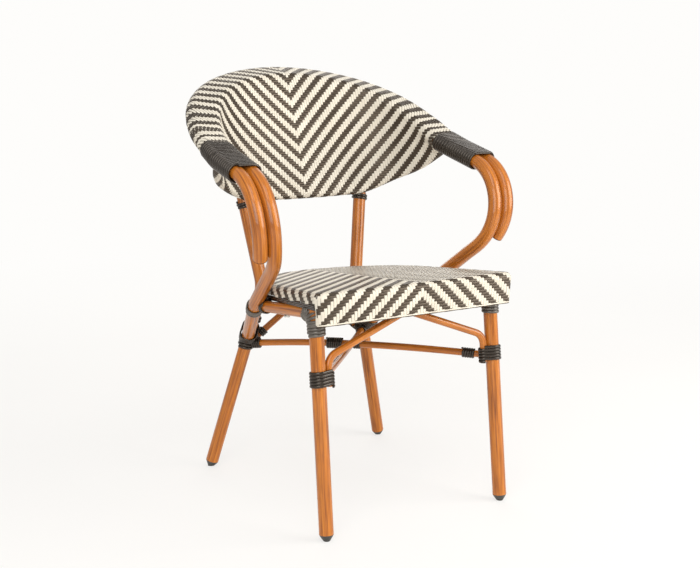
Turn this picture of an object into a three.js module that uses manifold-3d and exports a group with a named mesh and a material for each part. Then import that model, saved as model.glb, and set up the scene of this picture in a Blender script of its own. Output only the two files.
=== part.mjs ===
// A rattan bistro armchair: a bent tube frame painted like bamboo, with a woven seat and back.
// Millimetres, +Z up. The sitter faces -Y and the chair is a mirror image across the plane X = 0.
// Y = 0 is midway between the front and the rear feet until the last step centres the whole chair.

import * as THREE from 'three';
import { mergeVertices } from 'three/addons/utils/BufferGeometryUtils.js';
import Module from 'manifold-3d';

const wasm = await Module();
wasm.setup();

// Tubes
const legDiameter = 27;
const legWall = 1.5;
const railDiameter = 22;
const railWall = 1.5;
const braceDiameter = 14;
const braceWall = 1.2;
const panTubeDiameter = 19;
const panTubeWall = 1.2;
const edgeRailDiameter = 12;
const edgeRailWall = 1.2;
const tubeGap = 0.4;

// Front legs, each straight from its foot on the floor to its top under the seat pan
const frontFootHalfSpread = 195.5;
const frontFootAhead = 244;
const frontLegTopHalfSpread = 191.5;
const frontLegTopAhead = 203.7;
const frontLegTopDrop = 2.2;

// Rear legs, each one bent tube: foot, bend beside the seat, and top under the back
const rearFootHalfSpread = 212.5;
const rearFootBehind = 243;
const rearBendHalfSpread = 113;
const rearBendBehind = 173;
const rearBendBelowSeat = 41.3;
const rearBendRadius = 80;
const postTopHalfSpread = 140.5;
const postTopBehind = 199.5;
const postTopRise = 2;

// Plastic glides in the feet
const glideHeight = 12;
const glideTipRadius = 6.2;
const glidePlugLength = 15;
const glideSink = 4;
const glideRiseShares = [0.27, 0.58, 0.88];
const glideRadiusShares = [0.6, 0.9, 1];

// Arms: an inner tube that runs down to the rear leg, and a shorter outer tube beside it
const armHalfSpread = 249;
const armTubeSpacing = 28.5;
const armJointAhead = 8;
const armJointHeight = 672.6;
const armSlopeDegrees = 13.6;
const armStraightLength = 70;
const armBendRadius = 96;
const armBendDegrees = 130.6;
const outerArmBendDegrees = 111.5;
const armBendDrift = 24;
const armKneeHalfSpread = 203.5;
const armKneeBehind = 17;
const armKneeBelowSeat = 40.3;
const armKneeRadius = 60;
const armFootBelowSeat = 145.3;
const armFootOutset = 7;
const armFootLead = 12;
const armPlugLength = 12;
const armPlugRim = 1.6;

// Back: two rim tubes under the rolled top edge and a thin rail along the bottom edge
const crownBehind = 321.2;
const crownHeight = 830.2;
const rimSeamLength = 12;
const rimSpacingAtCrown = 42;
const rimDropAtCrown = 12;
const rimWidthShares = [0.352, 0.658, 0.875, 0.979, 0.994];
const rimDepthShares = [0.952, 0.815, 0.607, 0.352, 0.067];
const rimRiseShares = [0.947, 0.802, 0.577, 0.297, 0.034];
const edgeRailBehind = 191;
const edgeRailHeight = 580;
const edgeRailEndHalfSpread = 254;
const edgeRailEndBehind = 63;
const edgeRailEndHeight = 663.5;
const edgeWidthShares = [0.291, 0.559, 0.787, 0.933];
const edgeDepthShares = [0.984, 0.938, 0.734, 0.328];
const edgeRiseShares = [0.988, 0.934, 0.635, 0.323];
const weaveEndShare = 0.062;

// Rails and braces
const frontRailBelowSeat = 24.3;
const sideRailFrontBelowSeat = 22.8;
const sideRailEndHalfSpread = 194;
const sideRailEndBehind = 14;
const sideRailEndBelowSeat = 46;
const archBendRadius = 26;
const archPeakFlat = 24;
const frontArchFootBelowSeat = 163.3;
const frontArchShoulderBelowSeat = 104.3;
const rearArchFootBelowSeat = 170.3;
const crossFrontBelowSeat = 147.3;
const crossRearBelowSeat = 163.3;
const crossLift = 10;

// Woven seat
const weaveThickness = 2.6;
const weaveGap = 0.5;
const innerRimGap = 0.9;
const panGap = 0.85;
const seatHalfWidthAtFront = 215;
const seatHalfWidthAtRear = 193.5;
const seatFrontAhead = 256;
const seatFrontBow = 4.5;
const seatCornerRadius = 17;
const panCornerRadius = 24;
const seatSideEndAhead = 20;
const seatRearBehind = 187;
const seatTopHeight = 435.3;
const seatFallShare = 0.0875;
const seatEdgeRadius = 12;
const seatSideSkirt = 21;
const seatRearSkirt = 15;
const seatFrontSkirt = 58;
const seatFrontTuck = 3;
const bindingHeight = 5.5;
const bindingThickness = 3.2;
const seatBarAhead = 95;
const seatBarBehind = 62;

// Screws that hold the seat pan down
const screwShankDiameter = 5;
const screwHoleDiameter = 5.8;
const screwHeadDiameter = 11;
const screwHeadHeight = 3;
const screwBite = 5;
const rearScrewSpread = 20;

// Cords wrapped round the joints
const cordGap = 0.3;
const armCordWidth = 4.95;
const armCordThickness = 3;
const armCordPitch = 5.57;
const armWrapLead = 3.2;
const jointCordWidth = 5.2;
const jointCordThickness = 3.4;
const jointCordPitch = 5.8;
const thinCordWidth = 4.3;
const thinCordThickness = 3;
const thinCordPitch = 4.9;
const midWrapBelowSeat = 158.8;
const topWrapBelowSeat = 64.8;
const lashingBelowSeat = 173.3;
const railWrapLead = 15;
const armFootWrapLead = 12;
const postWrapLead = 9;
const crossWrapLead = 13;
const strutSleeveLead = 38;
const stretcherSleeveLead = 34;

// Counts
const tubeSides = 12;
const hiddenSides = 8;
const braceSides = 8;
const boreSides = 6;
const hiddenBoreSides = 4;
const bendSteps = 4;
const kneeSteps = 3;
const armBendSteps = 9;
const backSteps = 18;
const crossSteps = 4;
const frontBowSteps = 2;
const seatRearSteps = 6;
const glideSides = 10;
const screwSides = 6;
const cordSides = 4;
const pairedLoopSteps = 10;
const singleLoopSteps = 8;
const armTurns = 24;
const midTurns = 5;
const topTurns = 4;
const railTurns = 2;
const armFootTurns = 4;
const postTurns = 2;
const lashingTurns = 4;
const crossTurns = 3;
const strutSleeveTurns = 3;
const stretcherSleeveTurns = 5;

// Where the points lie along the parts of the seat outline
const cornerShares = [0.27, 0.54, 0.8, 0.9, 1];
const skirtCorners = 3;
const sideShares = [0.1, 0.24, 0.62, 1];
const bindingSideIndex = 1;

// Where the room of the wrap round a leg and an arch foot is taken, from the leg to the foot
const midRoomShares = [0, 0.3, 0.65, 1];

const mergeTolerance = 1e-4;

const point = (x, y, z) => new THREE.Vector3(x, y, z);
const mix = (a, b, share) => a + (b - a) * share;
const between = (a, b, share) => a.clone().lerp(b, share);
const unit = (from, to) => to.clone().sub(from).normalize();
const along = (start, direction, length) => start.clone().addScaledVector(direction, length);
const flipX = (p) => point(-p.x, p.y, p.z);
const radians = THREE.MathUtils.degToRad;
const up = point(0, 0, 1);
const acrossX = point(1, 0, 0);

const paint = (color, roughness, metalness) => () => (
  new THREE.MeshStandardMaterial({ color, roughness, metalness })
);
const bambooPaint = paint(0xb5713a, 0.35, 0.1);
const shadePaint = paint(0x8d5a35, 0.45, 0.1);
const blackPlastic = paint(0x2b2d2c, 0.5, 0);
const greyCord = paint(0x6b655d, 0.6, 0);
const darkCord = paint(0x35312d, 0.6, 0);
const wovenStrand = paint(0xcfc6b8, 0.7, 0);
const darkStrand = paint(0x3a3734, 0.7, 0);
const steel = paint(0xb9bcbe, 0.35, 0.9);

const chair = new THREE.Group();

function addPiece(name, geometry, makeMaterial) {
  const mesh = new THREE.Mesh(geometry, makeMaterial());
  mesh.name = name;
  chair.add(mesh);
}

// Swaps two corners of every triangle, which turns a surface inside out.
function turnOver(geometry) {
  const flat = geometry.index ? geometry.toNonIndexed() : geometry.clone();
  const position = flat.attributes.position;
  const second = point(0, 0, 0);
  const third = point(0, 0, 0);
  for (let i = 0; i < position.count; i += 3) {
    second.fromBufferAttribute(position, i + 1);
    third.fromBufferAttribute(position, i + 2);
    position.setXYZ(i + 1, third.x, third.y, third.z);
    position.setXYZ(i + 2, second.x, second.y, second.z);
  }
  return flat;
}

// Every right-hand piece has a mirror image on the left.
function addPair(name, geometry, makeMaterial) {
  const left = geometry.clone();
  left.scale(-1, 1, 1);
  addPiece(`${name}_right`, geometry, makeMaterial);
  addPiece(`${name}_left`, turnOver(left), makeMaterial);
}

// A curve through stations, so that a straight run costs one step and a bend has its own.
class StationCurve extends THREE.Curve {
  constructor(stations) {
    super();
    this.stations = stations;
  }

  getPointAt(u, target = new THREE.Vector3()) {
    const place = u * (this.stations.length - 1);
    const start = Math.min(Math.floor(place), this.stations.length - 2);
    return target.lerpVectors(this.stations[start], this.stations[start + 1], place - start);
  }

  getTangentAt(u, target = new THREE.Vector3()) {
    const here = Math.round(u * (this.stations.length - 1));
    return target.copy(headingAt(this.stations, here));
  }
}

// The mean of the headings of the two steps that meet at a station.
function headingAt(stations, index) {
  const before = stations[Math.max(index - 1, 0)];
  const after = stations[Math.min(index + 1, stations.length - 1)];
  const heading = unit(before, stations[index]).add(unit(stations[index], after));
  return heading.normalize();
}

function polygon(radius, count) {
  const corners = [];
  for (let i = 0; i < count; i += 1) {
    const angle = (2 * Math.PI * (i + 0.5)) / count;
    corners.push(new THREE.Vector2(radius * Math.cos(angle), radius * Math.sin(angle)));
  }
  return corners;
}

// A round bar along stations, or a tube with open ends where a wall is given.
function roundBar(stations, diameter, count, wall = 0, boreCount = boreSides) {
  const shape = new THREE.Shape(polygon(diameter / 2, count));
  if (wall > 0) {
    shape.holes.push(new THREE.Path(polygon(diameter / 2 - wall, boreCount)));
  }
  return new THREE.ExtrudeGeometry(shape, {
    steps: stations.length - 1,
    extrudePath: new StationCurve(stations),
    bevelEnabled: false,
  });
}

// Straight runs joined by round bends of one radius.
function bentRoute(corners, bendRadius, steps = bendSteps) {
  const stations = [corners[0].clone()];
  for (let i = 1; i < corners.length - 1; i += 1) {
    const back = unit(corners[i], corners[i - 1]);
    const ahead = unit(corners[i], corners[i + 1]);
    const halfAngle = back.angleTo(ahead) / 2;
    const centreWay = back.clone().add(ahead).normalize();
    const centre = along(corners[i], centreWay, bendRadius / Math.sin(halfAngle));
    const from = along(corners[i], back, bendRadius / Math.tan(halfAngle)).sub(centre);
    const to = along(corners[i], ahead, bendRadius / Math.tan(halfAngle)).sub(centre);
    const axis = from.clone().cross(to).normalize();
    const sweep = from.angleTo(to);
    for (let k = 0; k <= steps; k += 1) {
      stations.push(from.clone().applyAxisAngle(axis, (sweep * k) / steps).add(centre));
    }
  }
  stations.push(corners[corners.length - 1].clone());
  return stations;
}

// Turns a lathe profile of [radius, height] pairs into a solid on the given axis.
function turned(profile, count, start, direction) {
  const outline = profile.map(([radius, height]) => new THREE.Vector2(radius, height));
  const geometry = new THREE.LatheGeometry(outline, count);
  geometry.applyQuaternion(new THREE.Quaternion().setFromUnitVectors(point(0, 1, 0), direction));
  geometry.translate(start.x, start.y, start.z);
  return geometry;
}

function toSolid(geometry) {
  const bare = geometry.clone();
  bare.deleteAttribute('normal');
  bare.deleteAttribute('uv');
  const merged = mergeVertices(bare, mergeTolerance);
  return new wasm.Manifold(new wasm.Mesh({
    numProp: 3,
    vertProperties: merged.attributes.position.array,
    triVerts: new Uint32Array(merged.index.array),
  }));
}

function toGeometry(solid) {
  const mesh = solid.getMesh();
  const geometry = new THREE.BufferGeometry();
  geometry.setAttribute('position', new THREE.BufferAttribute(mesh.vertProperties, 3));
  geometry.setIndex(new THREE.BufferAttribute(mesh.triVerts, 1));
  return geometry;
}

// Cuts the tools away and keeps the main body, without the offcuts beyond a coped end.
function cope(geometry, tools) {
  let solid = toSolid(geometry);
  for (const tool of tools) {
    solid = solid.subtract(toSolid(tool));
  }
  const bodies = solid.decompose();
  bodies.sort((a, b) => b.volume() - a.volume());
  return toGeometry(bodies[0]);
}

// The room that a round bar takes up, grown by the gap that its neighbours keep.
function room(stations, diameter, count, gap = tubeGap) {
  const grown = stations.map((p) => p.clone());
  const last = grown.length - 1;
  grown[0].addScaledVector(unit(stations[1], stations[0]), gap);
  grown[last].addScaledVector(unit(stations[last - 1], stations[last]), gap);
  return roundBar(grown, (diameter + 2 * gap) / Math.cos(Math.PI / count), count);
}

// A sheet between two grids of points with the same layout, closed along its edges.
// A loop of rows joins its last row to its first.
function sheet(outer, inner, loop = false) {
  const corners = [];
  const face = (a, b, c) => {
    if (a.distanceTo(b) > 0 && b.distanceTo(c) > 0 && c.distanceTo(a) > 0) {
      corners.push(a, b, c);
    }
  };
  const quad = (a, b, c, d) => {
    face(a, b, c);
    face(a, c, d);
  };
  const rows = outer.length;
  const last = outer[0].length - 1;
  for (let i = 0; i < (loop ? rows : rows - 1); i += 1) {
    const n = (i + 1) % rows;
    for (let j = 0; j < last; j += 1) {
      quad(outer[i][j], outer[n][j], outer[n][j + 1], outer[i][j + 1]);
      quad(inner[i][j], inner[i][j + 1], inner[n][j + 1], inner[n][j]);
    }
    quad(outer[i][0], inner[i][0], inner[n][0], outer[n][0]);
    quad(outer[i][last], outer[n][last], inner[n][last], inner[i][last]);
  }
  if (!loop) {
    for (let j = 0; j < last; j += 1) {
      const end = rows - 1;
      quad(outer[0][j], outer[0][j + 1], inner[0][j + 1], inner[0][j]);
      quad(outer[end][j], inner[end][j], inner[end][j + 1], outer[end][j + 1]);
    }
  }
  const geometry = new THREE.BufferGeometry().setFromPoints(corners);
  return toSolid(geometry).volume() > 0 ? geometry : turnOver(geometry);
}

// A tube that is covered all along.
function hiddenTube(stations, diameter, wall, count = hiddenSides) {
  return roundBar(stations, diameter, count, wall, hiddenBoreSides);
}

// The place and heading at a length along straight runs.
function walk(points, length) {
  let left = length;
  let i = 0;
  while (i < points.length - 2 && left > points[i].distanceTo(points[i + 1])) {
    left -= points[i].distanceTo(points[i + 1]);
    i += 1;
  }
  const heading = unit(points[i], points[i + 1]);
  return { place: along(points[i], heading, left), heading };
}

// The angle between two corners on the larger side of a turn round two tubes.
function pairedStep(spacing, radiusDifference) {
  return (2 * (Math.PI - Math.acos(radiusDifference / spacing))) / (pairedLoopSteps / 2 - 1);
}

// One turn of a cord round one tube, or round two tubes of their own radii side by side.
// The cord stays on the outside of the corners, so its straight steps clear the round tubes.
function loopCorners(spacing, radius, otherRadius) {
  const corners = [];
  const place = (centre, reach, angle) => {
    corners.push({ across: centre + reach * Math.cos(angle), rise: reach * Math.sin(angle), angle });
  };
  if (spacing === 0) {
    for (let k = 0; k < singleLoopSteps; k += 1) {
      place(0, radius / Math.cos(Math.PI / singleLoopSteps), (2 * Math.PI * k) / singleLoopSteps);
    }
    return corners;
  }
  const touch = Math.acos((radius - otherRadius) / spacing);
  const each = pairedLoopSteps / 2;
  const farStep = (2 * touch) / (each - 1);
  const nearStep = pairedStep(spacing, radius - otherRadius);
  for (let k = 0; k < each; k += 1) {
    place(spacing, otherRadius / Math.cos(farStep / 2), k * farStep - touch);
  }
  for (let k = 0; k < each; k += 1) {
    place(0, radius / Math.cos(nearStep / 2), touch + k * nearStep);
  }
  return corners;
}

// One unbroken flattened cord wound along a tube, with a straight tail at each end that is as long
// as the cord is wide.
function winding(name, options) {
  const { path, other, radius, otherRadius, side, lead, turns, width, thickness, pitch } = options;
  const clear = cordGap + thickness / 2;
  const spacing = other ? path[0].distanceTo(other[0]) : 0;
  const corners = loopCorners(spacing, radius + clear, other ? otherRadius + clear : 0);
  const rings = [];
  for (let k = 0; k <= turns * corners.length; k += 1) {
    const corner = corners[k % corners.length];
    const travelled = lead + width / 2 + (pitch * k) / corners.length;
    const spot = walk(path, travelled);
    const across = other ? unit(spot.place, walk(other, travelled).place) : side.clone();
    const rise = across.clone().cross(spot.heading).normalize();
    across.crossVectors(spot.heading, rise).normalize();
    const centre = along(along(spot.place, across, corner.across), rise, corner.rise);
    const outward = along(point(0, 0, 0), across, Math.cos(corner.angle));
    rings.push({ centre, outward: along(outward, rise, Math.sin(corner.angle)) });
  }
  const first = rings[0];
  const last = rings[rings.length - 1];
  const startTail = along(first.centre, unit(rings[1].centre, first.centre), width);
  const endTail = along(last.centre, unit(rings[rings.length - 2].centre, last.centre), width);
  rings.unshift({ centre: startTail, outward: first.outward });
  rings.push({ centre: endTail, outward: last.outward });
  const centres = rings.map((ring) => ring.centre);
  const skins = rings.map((ring, i) => {
    const heading = headingAt(centres, i);
    const sideways = heading.clone().cross(ring.outward).normalize();
    const outward = sideways.clone().cross(heading).normalize();
    const skin = [];
    for (let q = 0; q < cordSides; q += 1) {
      const angle = (2 * Math.PI * q) / cordSides;
      const rim = along(ring.centre, outward, (thickness / 2) * Math.cos(angle));
      skin.push(along(rim, sideways, (width / 2) * Math.sin(angle)));
    }
    return skin;
  });
  reportLeastGap(name, skins, corners.length);
  return cordSkin(skins);
}

function reportLeastGap(name, skins, loopSteps) {
  let least = Infinity;
  for (let i = 0; i < skins.length; i += 1) {
    for (let j = i + Math.ceil(loopSteps / 2); j < skins.length; j += 1) {
      for (const a of skins[i]) {
        for (const b of skins[j]) {
          least = Math.min(least, a.distanceTo(b));
        }
      }
    }
  }
  console.log(`${name}: least gap to itself ${least.toFixed(2)} mm`);
}

function cordSkin(skins) {
  const count = skins[0].length;
  const positions = skins.flatMap((skin) => skin.flatMap((p) => p.toArray()));
  const index = [];
  for (let i = 0; i < skins.length - 1; i += 1) {
    for (let q = 0; q < count; q += 1) {
      const n = (q + 1) % count;
      const a = i * count;
      const b = a + count;
      index.push(a + q, a + n, b + n, a + q, b + n, b + q);
    }
  }
  const end = (skins.length - 1) * count;
  for (let q = 1; q < count - 1; q += 1) {
    index.push(0, q + 1, q, end, end + q, end + q + 1);
  }
  const geometry = new THREE.BufferGeometry();
  geometry.setAttribute('position', new THREE.Float32BufferAttribute(positions, 3));
  geometry.setIndex(index);
  return toSolid(geometry).volume() > 0 ? geometry : turnOver(geometry);
}

// Seat heights, and the heights that follow the seat
const panDrop = weaveThickness + panGap + panTubeDiameter / 2;
const seatTopAt = (y) => seatTopHeight - seatFallShare * y;
const panHeightAt = (y) => seatTopAt(y) - panDrop;
const panUndersideAt = (y) => panHeightAt(y) - panTubeDiameter / 2;
const rearBendHeight = seatTopHeight - rearBendBelowSeat;
const armKneeHeight = seatTopHeight - armKneeBelowSeat;
const armFootHeight = seatTopHeight - armFootBelowSeat;
const frontRailHeight = seatTopHeight - frontRailBelowSeat;
const sideRailFrontHeight = seatTopHeight - sideRailFrontBelowSeat;
const sideRailEndHeight = seatTopHeight - sideRailEndBelowSeat;
const frontArchFootHeight = seatTopHeight - frontArchFootBelowSeat;
const frontArchShoulderHeight = seatTopHeight - frontArchShoulderBelowSeat;
const rearArchFootHeight = seatTopHeight - rearArchFootBelowSeat;
const crossFrontHeight = seatTopHeight - crossFrontBelowSeat;
const crossRearHeight = seatTopHeight - crossRearBelowSeat;
const midWrapHeight = seatTopHeight - midWrapBelowSeat;
const topWrapHeight = seatTopHeight - topWrapBelowSeat;
const lashingHeight = seatTopHeight - lashingBelowSeat;

// The posts reach just above the middle of the back's edge rail.
const postTopHeight = edgeRailHeight + postTopRise;

// Legs
const frontFoot = point(frontFootHalfSpread, -frontFootAhead, 0);
const frontLegTop = point(
  frontLegTopHalfSpread,
  -frontLegTopAhead,
  panUndersideAt(-frontLegTopAhead) - frontLegTopDrop,
);
const rearFoot = point(rearFootHalfSpread, rearFootBehind, 0);
const rearBend = point(rearBendHalfSpread, rearBendBehind, rearBendHeight);
const postTop = point(postTopHalfSpread, postTopBehind, postTopHeight);
const onFrontLeg = (z) => between(frontFoot, frontLegTop, z / frontLegTop.z);
const onRearLeg = (z) => between(rearFoot, rearBend, z / rearBend.z);
const frontLegAxis = unit(frontFoot, frontLegTop);
const rearLegAxis = unit(rearFoot, rearBend);

const frontLegRoute = [along(frontFoot, frontLegAxis, glideHeight + tubeGap), frontLegTop];
const rearLegRoute = bentRoute(
  [along(rearFoot, rearLegAxis, glideHeight + tubeGap), rearBend, postTop],
  rearBendRadius,
);
const frontLegRoom = room(frontLegRoute, legDiameter, tubeSides);
const rearLegRoom = room(rearLegRoute, legDiameter, tubeSides);
const frontLegRooms = [frontLegRoom, room(frontLegRoute.map(flipX), legDiameter, tubeSides)];
const rearLegRooms = [rearLegRoom, room(rearLegRoute.map(flipX), legDiameter, tubeSides)];

addPair('front_leg', roundBar(frontLegRoute, legDiameter, tubeSides, legWall), bambooPaint);

// Glides, domed under the tube and cut flat by the floor
const plugRadius = (legDiameter / 2 - legWall) * Math.cos(Math.PI / boreSides) - tubeGap;
function glide(foot, axis) {
  const profile = [[0, -glideSink], [glideTipRadius, -glideSink], [glideTipRadius, 0]];
  for (let i = 0; i < glideRiseShares.length; i += 1) {
    profile.push([(legDiameter / 2) * glideRadiusShares[i], glideHeight * glideRiseShares[i]]);
  }
  profile.push([legDiameter / 2, glideHeight], [plugRadius, glideHeight]);
  profile.push([plugRadius, glideHeight + glidePlugLength], [0, glideHeight + glidePlugLength]);
  const underFloor = new THREE.BoxGeometry(legDiameter * 2, legDiameter * 2, legDiameter);
  underFloor.translate(foot.x, foot.y, -legDiameter / 2);
  return cope(turned(profile, glideSides, foot, axis), [underFloor]);
}
addPair('front_glide', glide(frontFoot, frontLegAxis), blackPlastic);
addPair('rear_glide', glide(rearFoot, rearLegAxis), blackPlastic);

// Arm tubes. The bend turns down and back in a plane along Y and drifts inwards as it goes.
const armSlope = radians(armSlopeDegrees);
const armForward = point(0, -Math.cos(armSlope), -Math.sin(armSlope));
const armDown = point(0, Math.sin(armSlope), -Math.cos(armSlope));
const armJoint = point(armHalfSpread, -armJointAhead, armJointHeight);
const outerArmJoint = along(armJoint, acrossX, armTubeSpacing);
const armBendStart = along(armJoint, armForward, armStraightLength);
const armBendCentre = along(armBendStart, armDown, armBendRadius);

function armBend(sweepDegrees) {
  const steps = Math.round((armBendSteps * sweepDegrees) / armBendDegrees);
  const stations = [along(armJoint, armForward, tubeGap)];
  for (let k = 0; k <= steps; k += 1) {
    const angle = (radians(sweepDegrees) * k) / steps;
    const driftShare = (sweepDegrees * k) / (armBendDegrees * steps);
    const station = along(armBendCentre, armDown, -armBendRadius * Math.cos(angle));
    station.addScaledVector(armForward, armBendRadius * Math.sin(angle));
    station.x -= armBendDrift * driftShare ** 3;
    stations.push(station);
  }
  return stations;
}

const innerArmBend = armBend(armBendDegrees);
const armKnee = point(armKneeHalfSpread, armKneeBehind, armKneeHeight);
const armFoot = onRearLeg(armFootHeight).add(point(armFootOutset, -armFootLead, 0));
const armRun = bentRoute(
  [innerArmBend[innerArmBend.length - 1], armKnee, armFoot],
  armKneeRadius,
  kneeSteps,
);
const innerArmRoute = [...innerArmBend, ...armRun.slice(1)];
const outerArmRoute = armBend(outerArmBendDegrees).map((p) => along(p, acrossX, armTubeSpacing));
addPair('arm_outer_tube', roundBar(outerArmRoute, legDiameter, tubeSides, legWall), bambooPaint);

const outerArmEnd = outerArmRoute[outerArmRoute.length - 1];
const outerArmHeading = unit(outerArmRoute[outerArmRoute.length - 2], outerArmEnd);
const armPlug = turned([
  [0, -armPlugLength],
  [plugRadius, -armPlugLength],
  [plugRadius, tubeGap],
  [legDiameter / 2, tubeGap],
  [legDiameter / 2, tubeGap + armPlugRim],
  [0, tubeGap + armPlugRim],
], tubeSides, outerArmEnd, outerArmHeading);
addPair('arm_end_plug', armPlug, blackPlastic);

// Back. The rim curve runs from the left arm over the crown to the right arm.
const rimHalfSpread = armHalfSpread + armTubeSpacing;
const rimSeam = along(outerArmJoint, armForward, -rimSeamLength);
const innerRimSeam = along(armJoint, armForward, -rimSeamLength);

function mirroredCurve(middle, places) {
  const left = places.map(flipX).reverse();
  return new THREE.CatmullRomCurve3([...left, middle, ...places], false, 'centripetal');
}

const rimPlaces = rimWidthShares.map((share, i) => point(
  rimHalfSpread * share,
  mix(rimSeam.y, crownBehind, rimDepthShares[i]),
  mix(rimSeam.z, crownHeight, rimRiseShares[i]),
));
const rimCurve = mirroredCurve(point(0, crownBehind, crownHeight), [...rimPlaces, rimSeam]);
const edgePlaces = edgeWidthShares.map((share, i) => point(
  edgeRailEndHalfSpread * share,
  mix(edgeRailEndBehind, edgeRailBehind, edgeDepthShares[i]),
  mix(edgeRailEndHeight, edgeRailHeight, edgeRiseShares[i]),
));
const edgeEnd = point(edgeRailEndHalfSpread, edgeRailEndBehind, edgeRailEndHeight);
const edgeCurve = mirroredCurve(
  point(0, edgeRailBehind, edgeRailHeight),
  [...edgePlaces.reverse(), edgeEnd].sort((a, b) => a.x - b.x),
);

// Level and square to a heading, on the side away from the sitter.
const outwardOf = (heading) => point(-heading.y, heading.x, 0).normalize();

const outerRim = [];
const innerRim = [];
const edgeRail = [];
for (let i = 0; i <= backSteps; i += 1) {
  const u = mix(weaveEndShare, 1 - weaveEndShare, i / backSteps);
  const swell = Math.sin(u * Math.PI);
  const rim = rimCurve.getPointAt(u);
  const inward = outwardOf(rimCurve.getTangentAt(u)).negate();
  const spread = mix(armTubeSpacing, rimSpacingAtCrown, swell);
  outerRim.push(rim);
  innerRim.push(along(along(rim, inward, spread), up, -rimDropAtCrown * swell));
  edgeRail.push(edgeCurve.getPointAt(i / backSteps));
}
const withSeams = (stations, seam, joint) => (
  [flipX(joint), flipX(seam), ...stations, seam, joint]
);
const outerRimRoute = withSeams(outerRim, rimSeam, outerArmJoint);
const innerRimRoute = withSeams(innerRim, innerRimSeam, armJoint);
addPiece('back_outer_rim', hiddenTube(outerRimRoute, legDiameter, legWall), shadePaint);
addPiece('back_inner_rim', hiddenTube(innerRimRoute, legDiameter, legWall), shadePaint);
const edgeTube = hiddenTube(edgeRail, edgeRailDiameter, edgeRailWall, boreSides);
addPiece('back_edge_rail', edgeTube, shadePaint);

// The weave comes up behind the edge rail, passes under it, climbs on the sitter's side
// and rolls back over both rim tubes to end under the outer one.
const edgeWrapRadius = edgeRailDiameter / 2 + weaveGap;
const outerRimWrapRadius = legDiameter / 2 + weaveGap;
const innerRimWrapRadius = legDiameter / 2 + innerRimGap;
const edgeWrapStart = 2 * Math.PI;
const edgeWrapSteps = 4;
const innerRimWrapEase = Math.PI * 0.08;
const innerRimWrapEnd = Math.PI * 0.56;
const innerRimWrapSteps = 2;
const outerRimWrapStart = Math.PI * 0.52;
const outerRimWrapEnd = -Math.PI * 0.45;
const outerRimWrapSteps = 4;

// The angle at which the straight wall leaves the edge rail and meets the inner rim.
function wallAngle(index) {
  const outward = outwardOf(headingAt(edgeRail, index));
  const rise = innerRim[index].clone().sub(edgeRail[index]);
  const lie = Math.atan2(rise.z, rise.dot(outward));
  const length = Math.hypot(rise.z, rise.dot(outward));
  return lie + Math.acos((innerRimWrapRadius - edgeWrapRadius) / length);
}

function wrapPoints(stations, index, wrapRadius, depth, fromAngle, toAngle, steps) {
  const heading = headingAt(stations, index);
  const outward = outwardOf(heading);
  const over = heading.clone().cross(outward).normalize();
  const reach = wrapRadius / Math.cos((toAngle - fromAngle) / steps / 2) + depth;
  const points = [];
  for (let k = 0; k <= steps; k += 1) {
    const angle = mix(fromAngle, toAngle, k / steps);
    const across = along(stations[index], outward, reach * Math.cos(angle));
    points.push(along(across, over, reach * Math.sin(angle)));
  }
  return points;
}

function backRow(index, depth) {
  const leaveAngle = wallAngle(index);
  const rimIndex = index + outerRimRoute.indexOf(outerRim[0]);
  const edgeTurn = [edgeWrapStart, leaveAngle, edgeWrapSteps];
  const innerTurn = [leaveAngle + innerRimWrapEase, innerRimWrapEnd, innerRimWrapSteps];
  const outerTurn = [outerRimWrapStart, outerRimWrapEnd, outerRimWrapSteps];
  return [
    ...wrapPoints(edgeRail, index, edgeWrapRadius, depth, ...edgeTurn),
    ...wrapPoints(innerRimRoute, rimIndex, innerRimWrapRadius, depth, ...innerTurn),
    ...wrapPoints(outerRimRoute, rimIndex, outerRimWrapRadius, depth, ...outerTurn),
  ];
}
const backOutside = edgeRail.map((_, i) => backRow(i, weaveThickness));
const backInside = edgeRail.map((_, i) => backRow(i, 0));
addPiece('back_weave', sheet(backOutside, backInside), wovenStrand);

// The posts stop under the woven edge rail, with a saddle cut round it.
const edgeWrapTurn = (edgeWrapStart - wallAngle(backSteps / 2)) / edgeWrapSteps;
const edgeWrapReach = edgeWrapRadius / Math.cos(edgeWrapTurn / 2);
const wovenEdgeDiameter = 2 * (edgeWrapReach + weaveThickness);
const wovenEdgeRoom = room(edgeRail, wovenEdgeDiameter, tubeSides);
const rearLeg = cope(roundBar(rearLegRoute, legDiameter, tubeSides, legWall), [wovenEdgeRoom]);
addPair('rear_leg', rearLeg, bambooPaint);

// Rails
const frontRailEnd = onFrontLeg(frontRailHeight);
const rearRailBehind = onRearLeg(rearBendHeight).y;
const rearRailHeight = panUndersideAt(rearRailBehind) - tubeGap - railDiameter / 2;
const rearRailEnd = onRearLeg(rearRailHeight);
const frontRailRoute = [flipX(frontRailEnd), frontRailEnd];
const rearRailRoute = [flipX(rearRailEnd), rearRailEnd];
const sideRailRoute = [
  onFrontLeg(sideRailFrontHeight),
  point(sideRailEndHalfSpread, sideRailEndBehind, sideRailEndHeight),
];
const innerArmRoom = room(innerArmRoute, legDiameter, tubeSides);

const frontRailRoom = room(frontRailRoute, railDiameter, tubeSides);
const frontRail = cope(roundBar(frontRailRoute, railDiameter, tubeSides, railWall), frontLegRooms);
addPiece('front_rail', frontRail, bambooPaint);

// Seat outline for a corner radius, from the middle of the front edge round the right-hand side
// to the middle of the rear, and back along the left.
const seatSideEndY = -seatSideEndAhead;
const sideShareAt = (y) => (y + seatFrontAhead) / (seatSideEndY + seatFrontAhead);
const seatHalfWidthAt = (y) => mix(seatHalfWidthAtFront, seatHalfWidthAtRear, sideShareAt(y));

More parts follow.
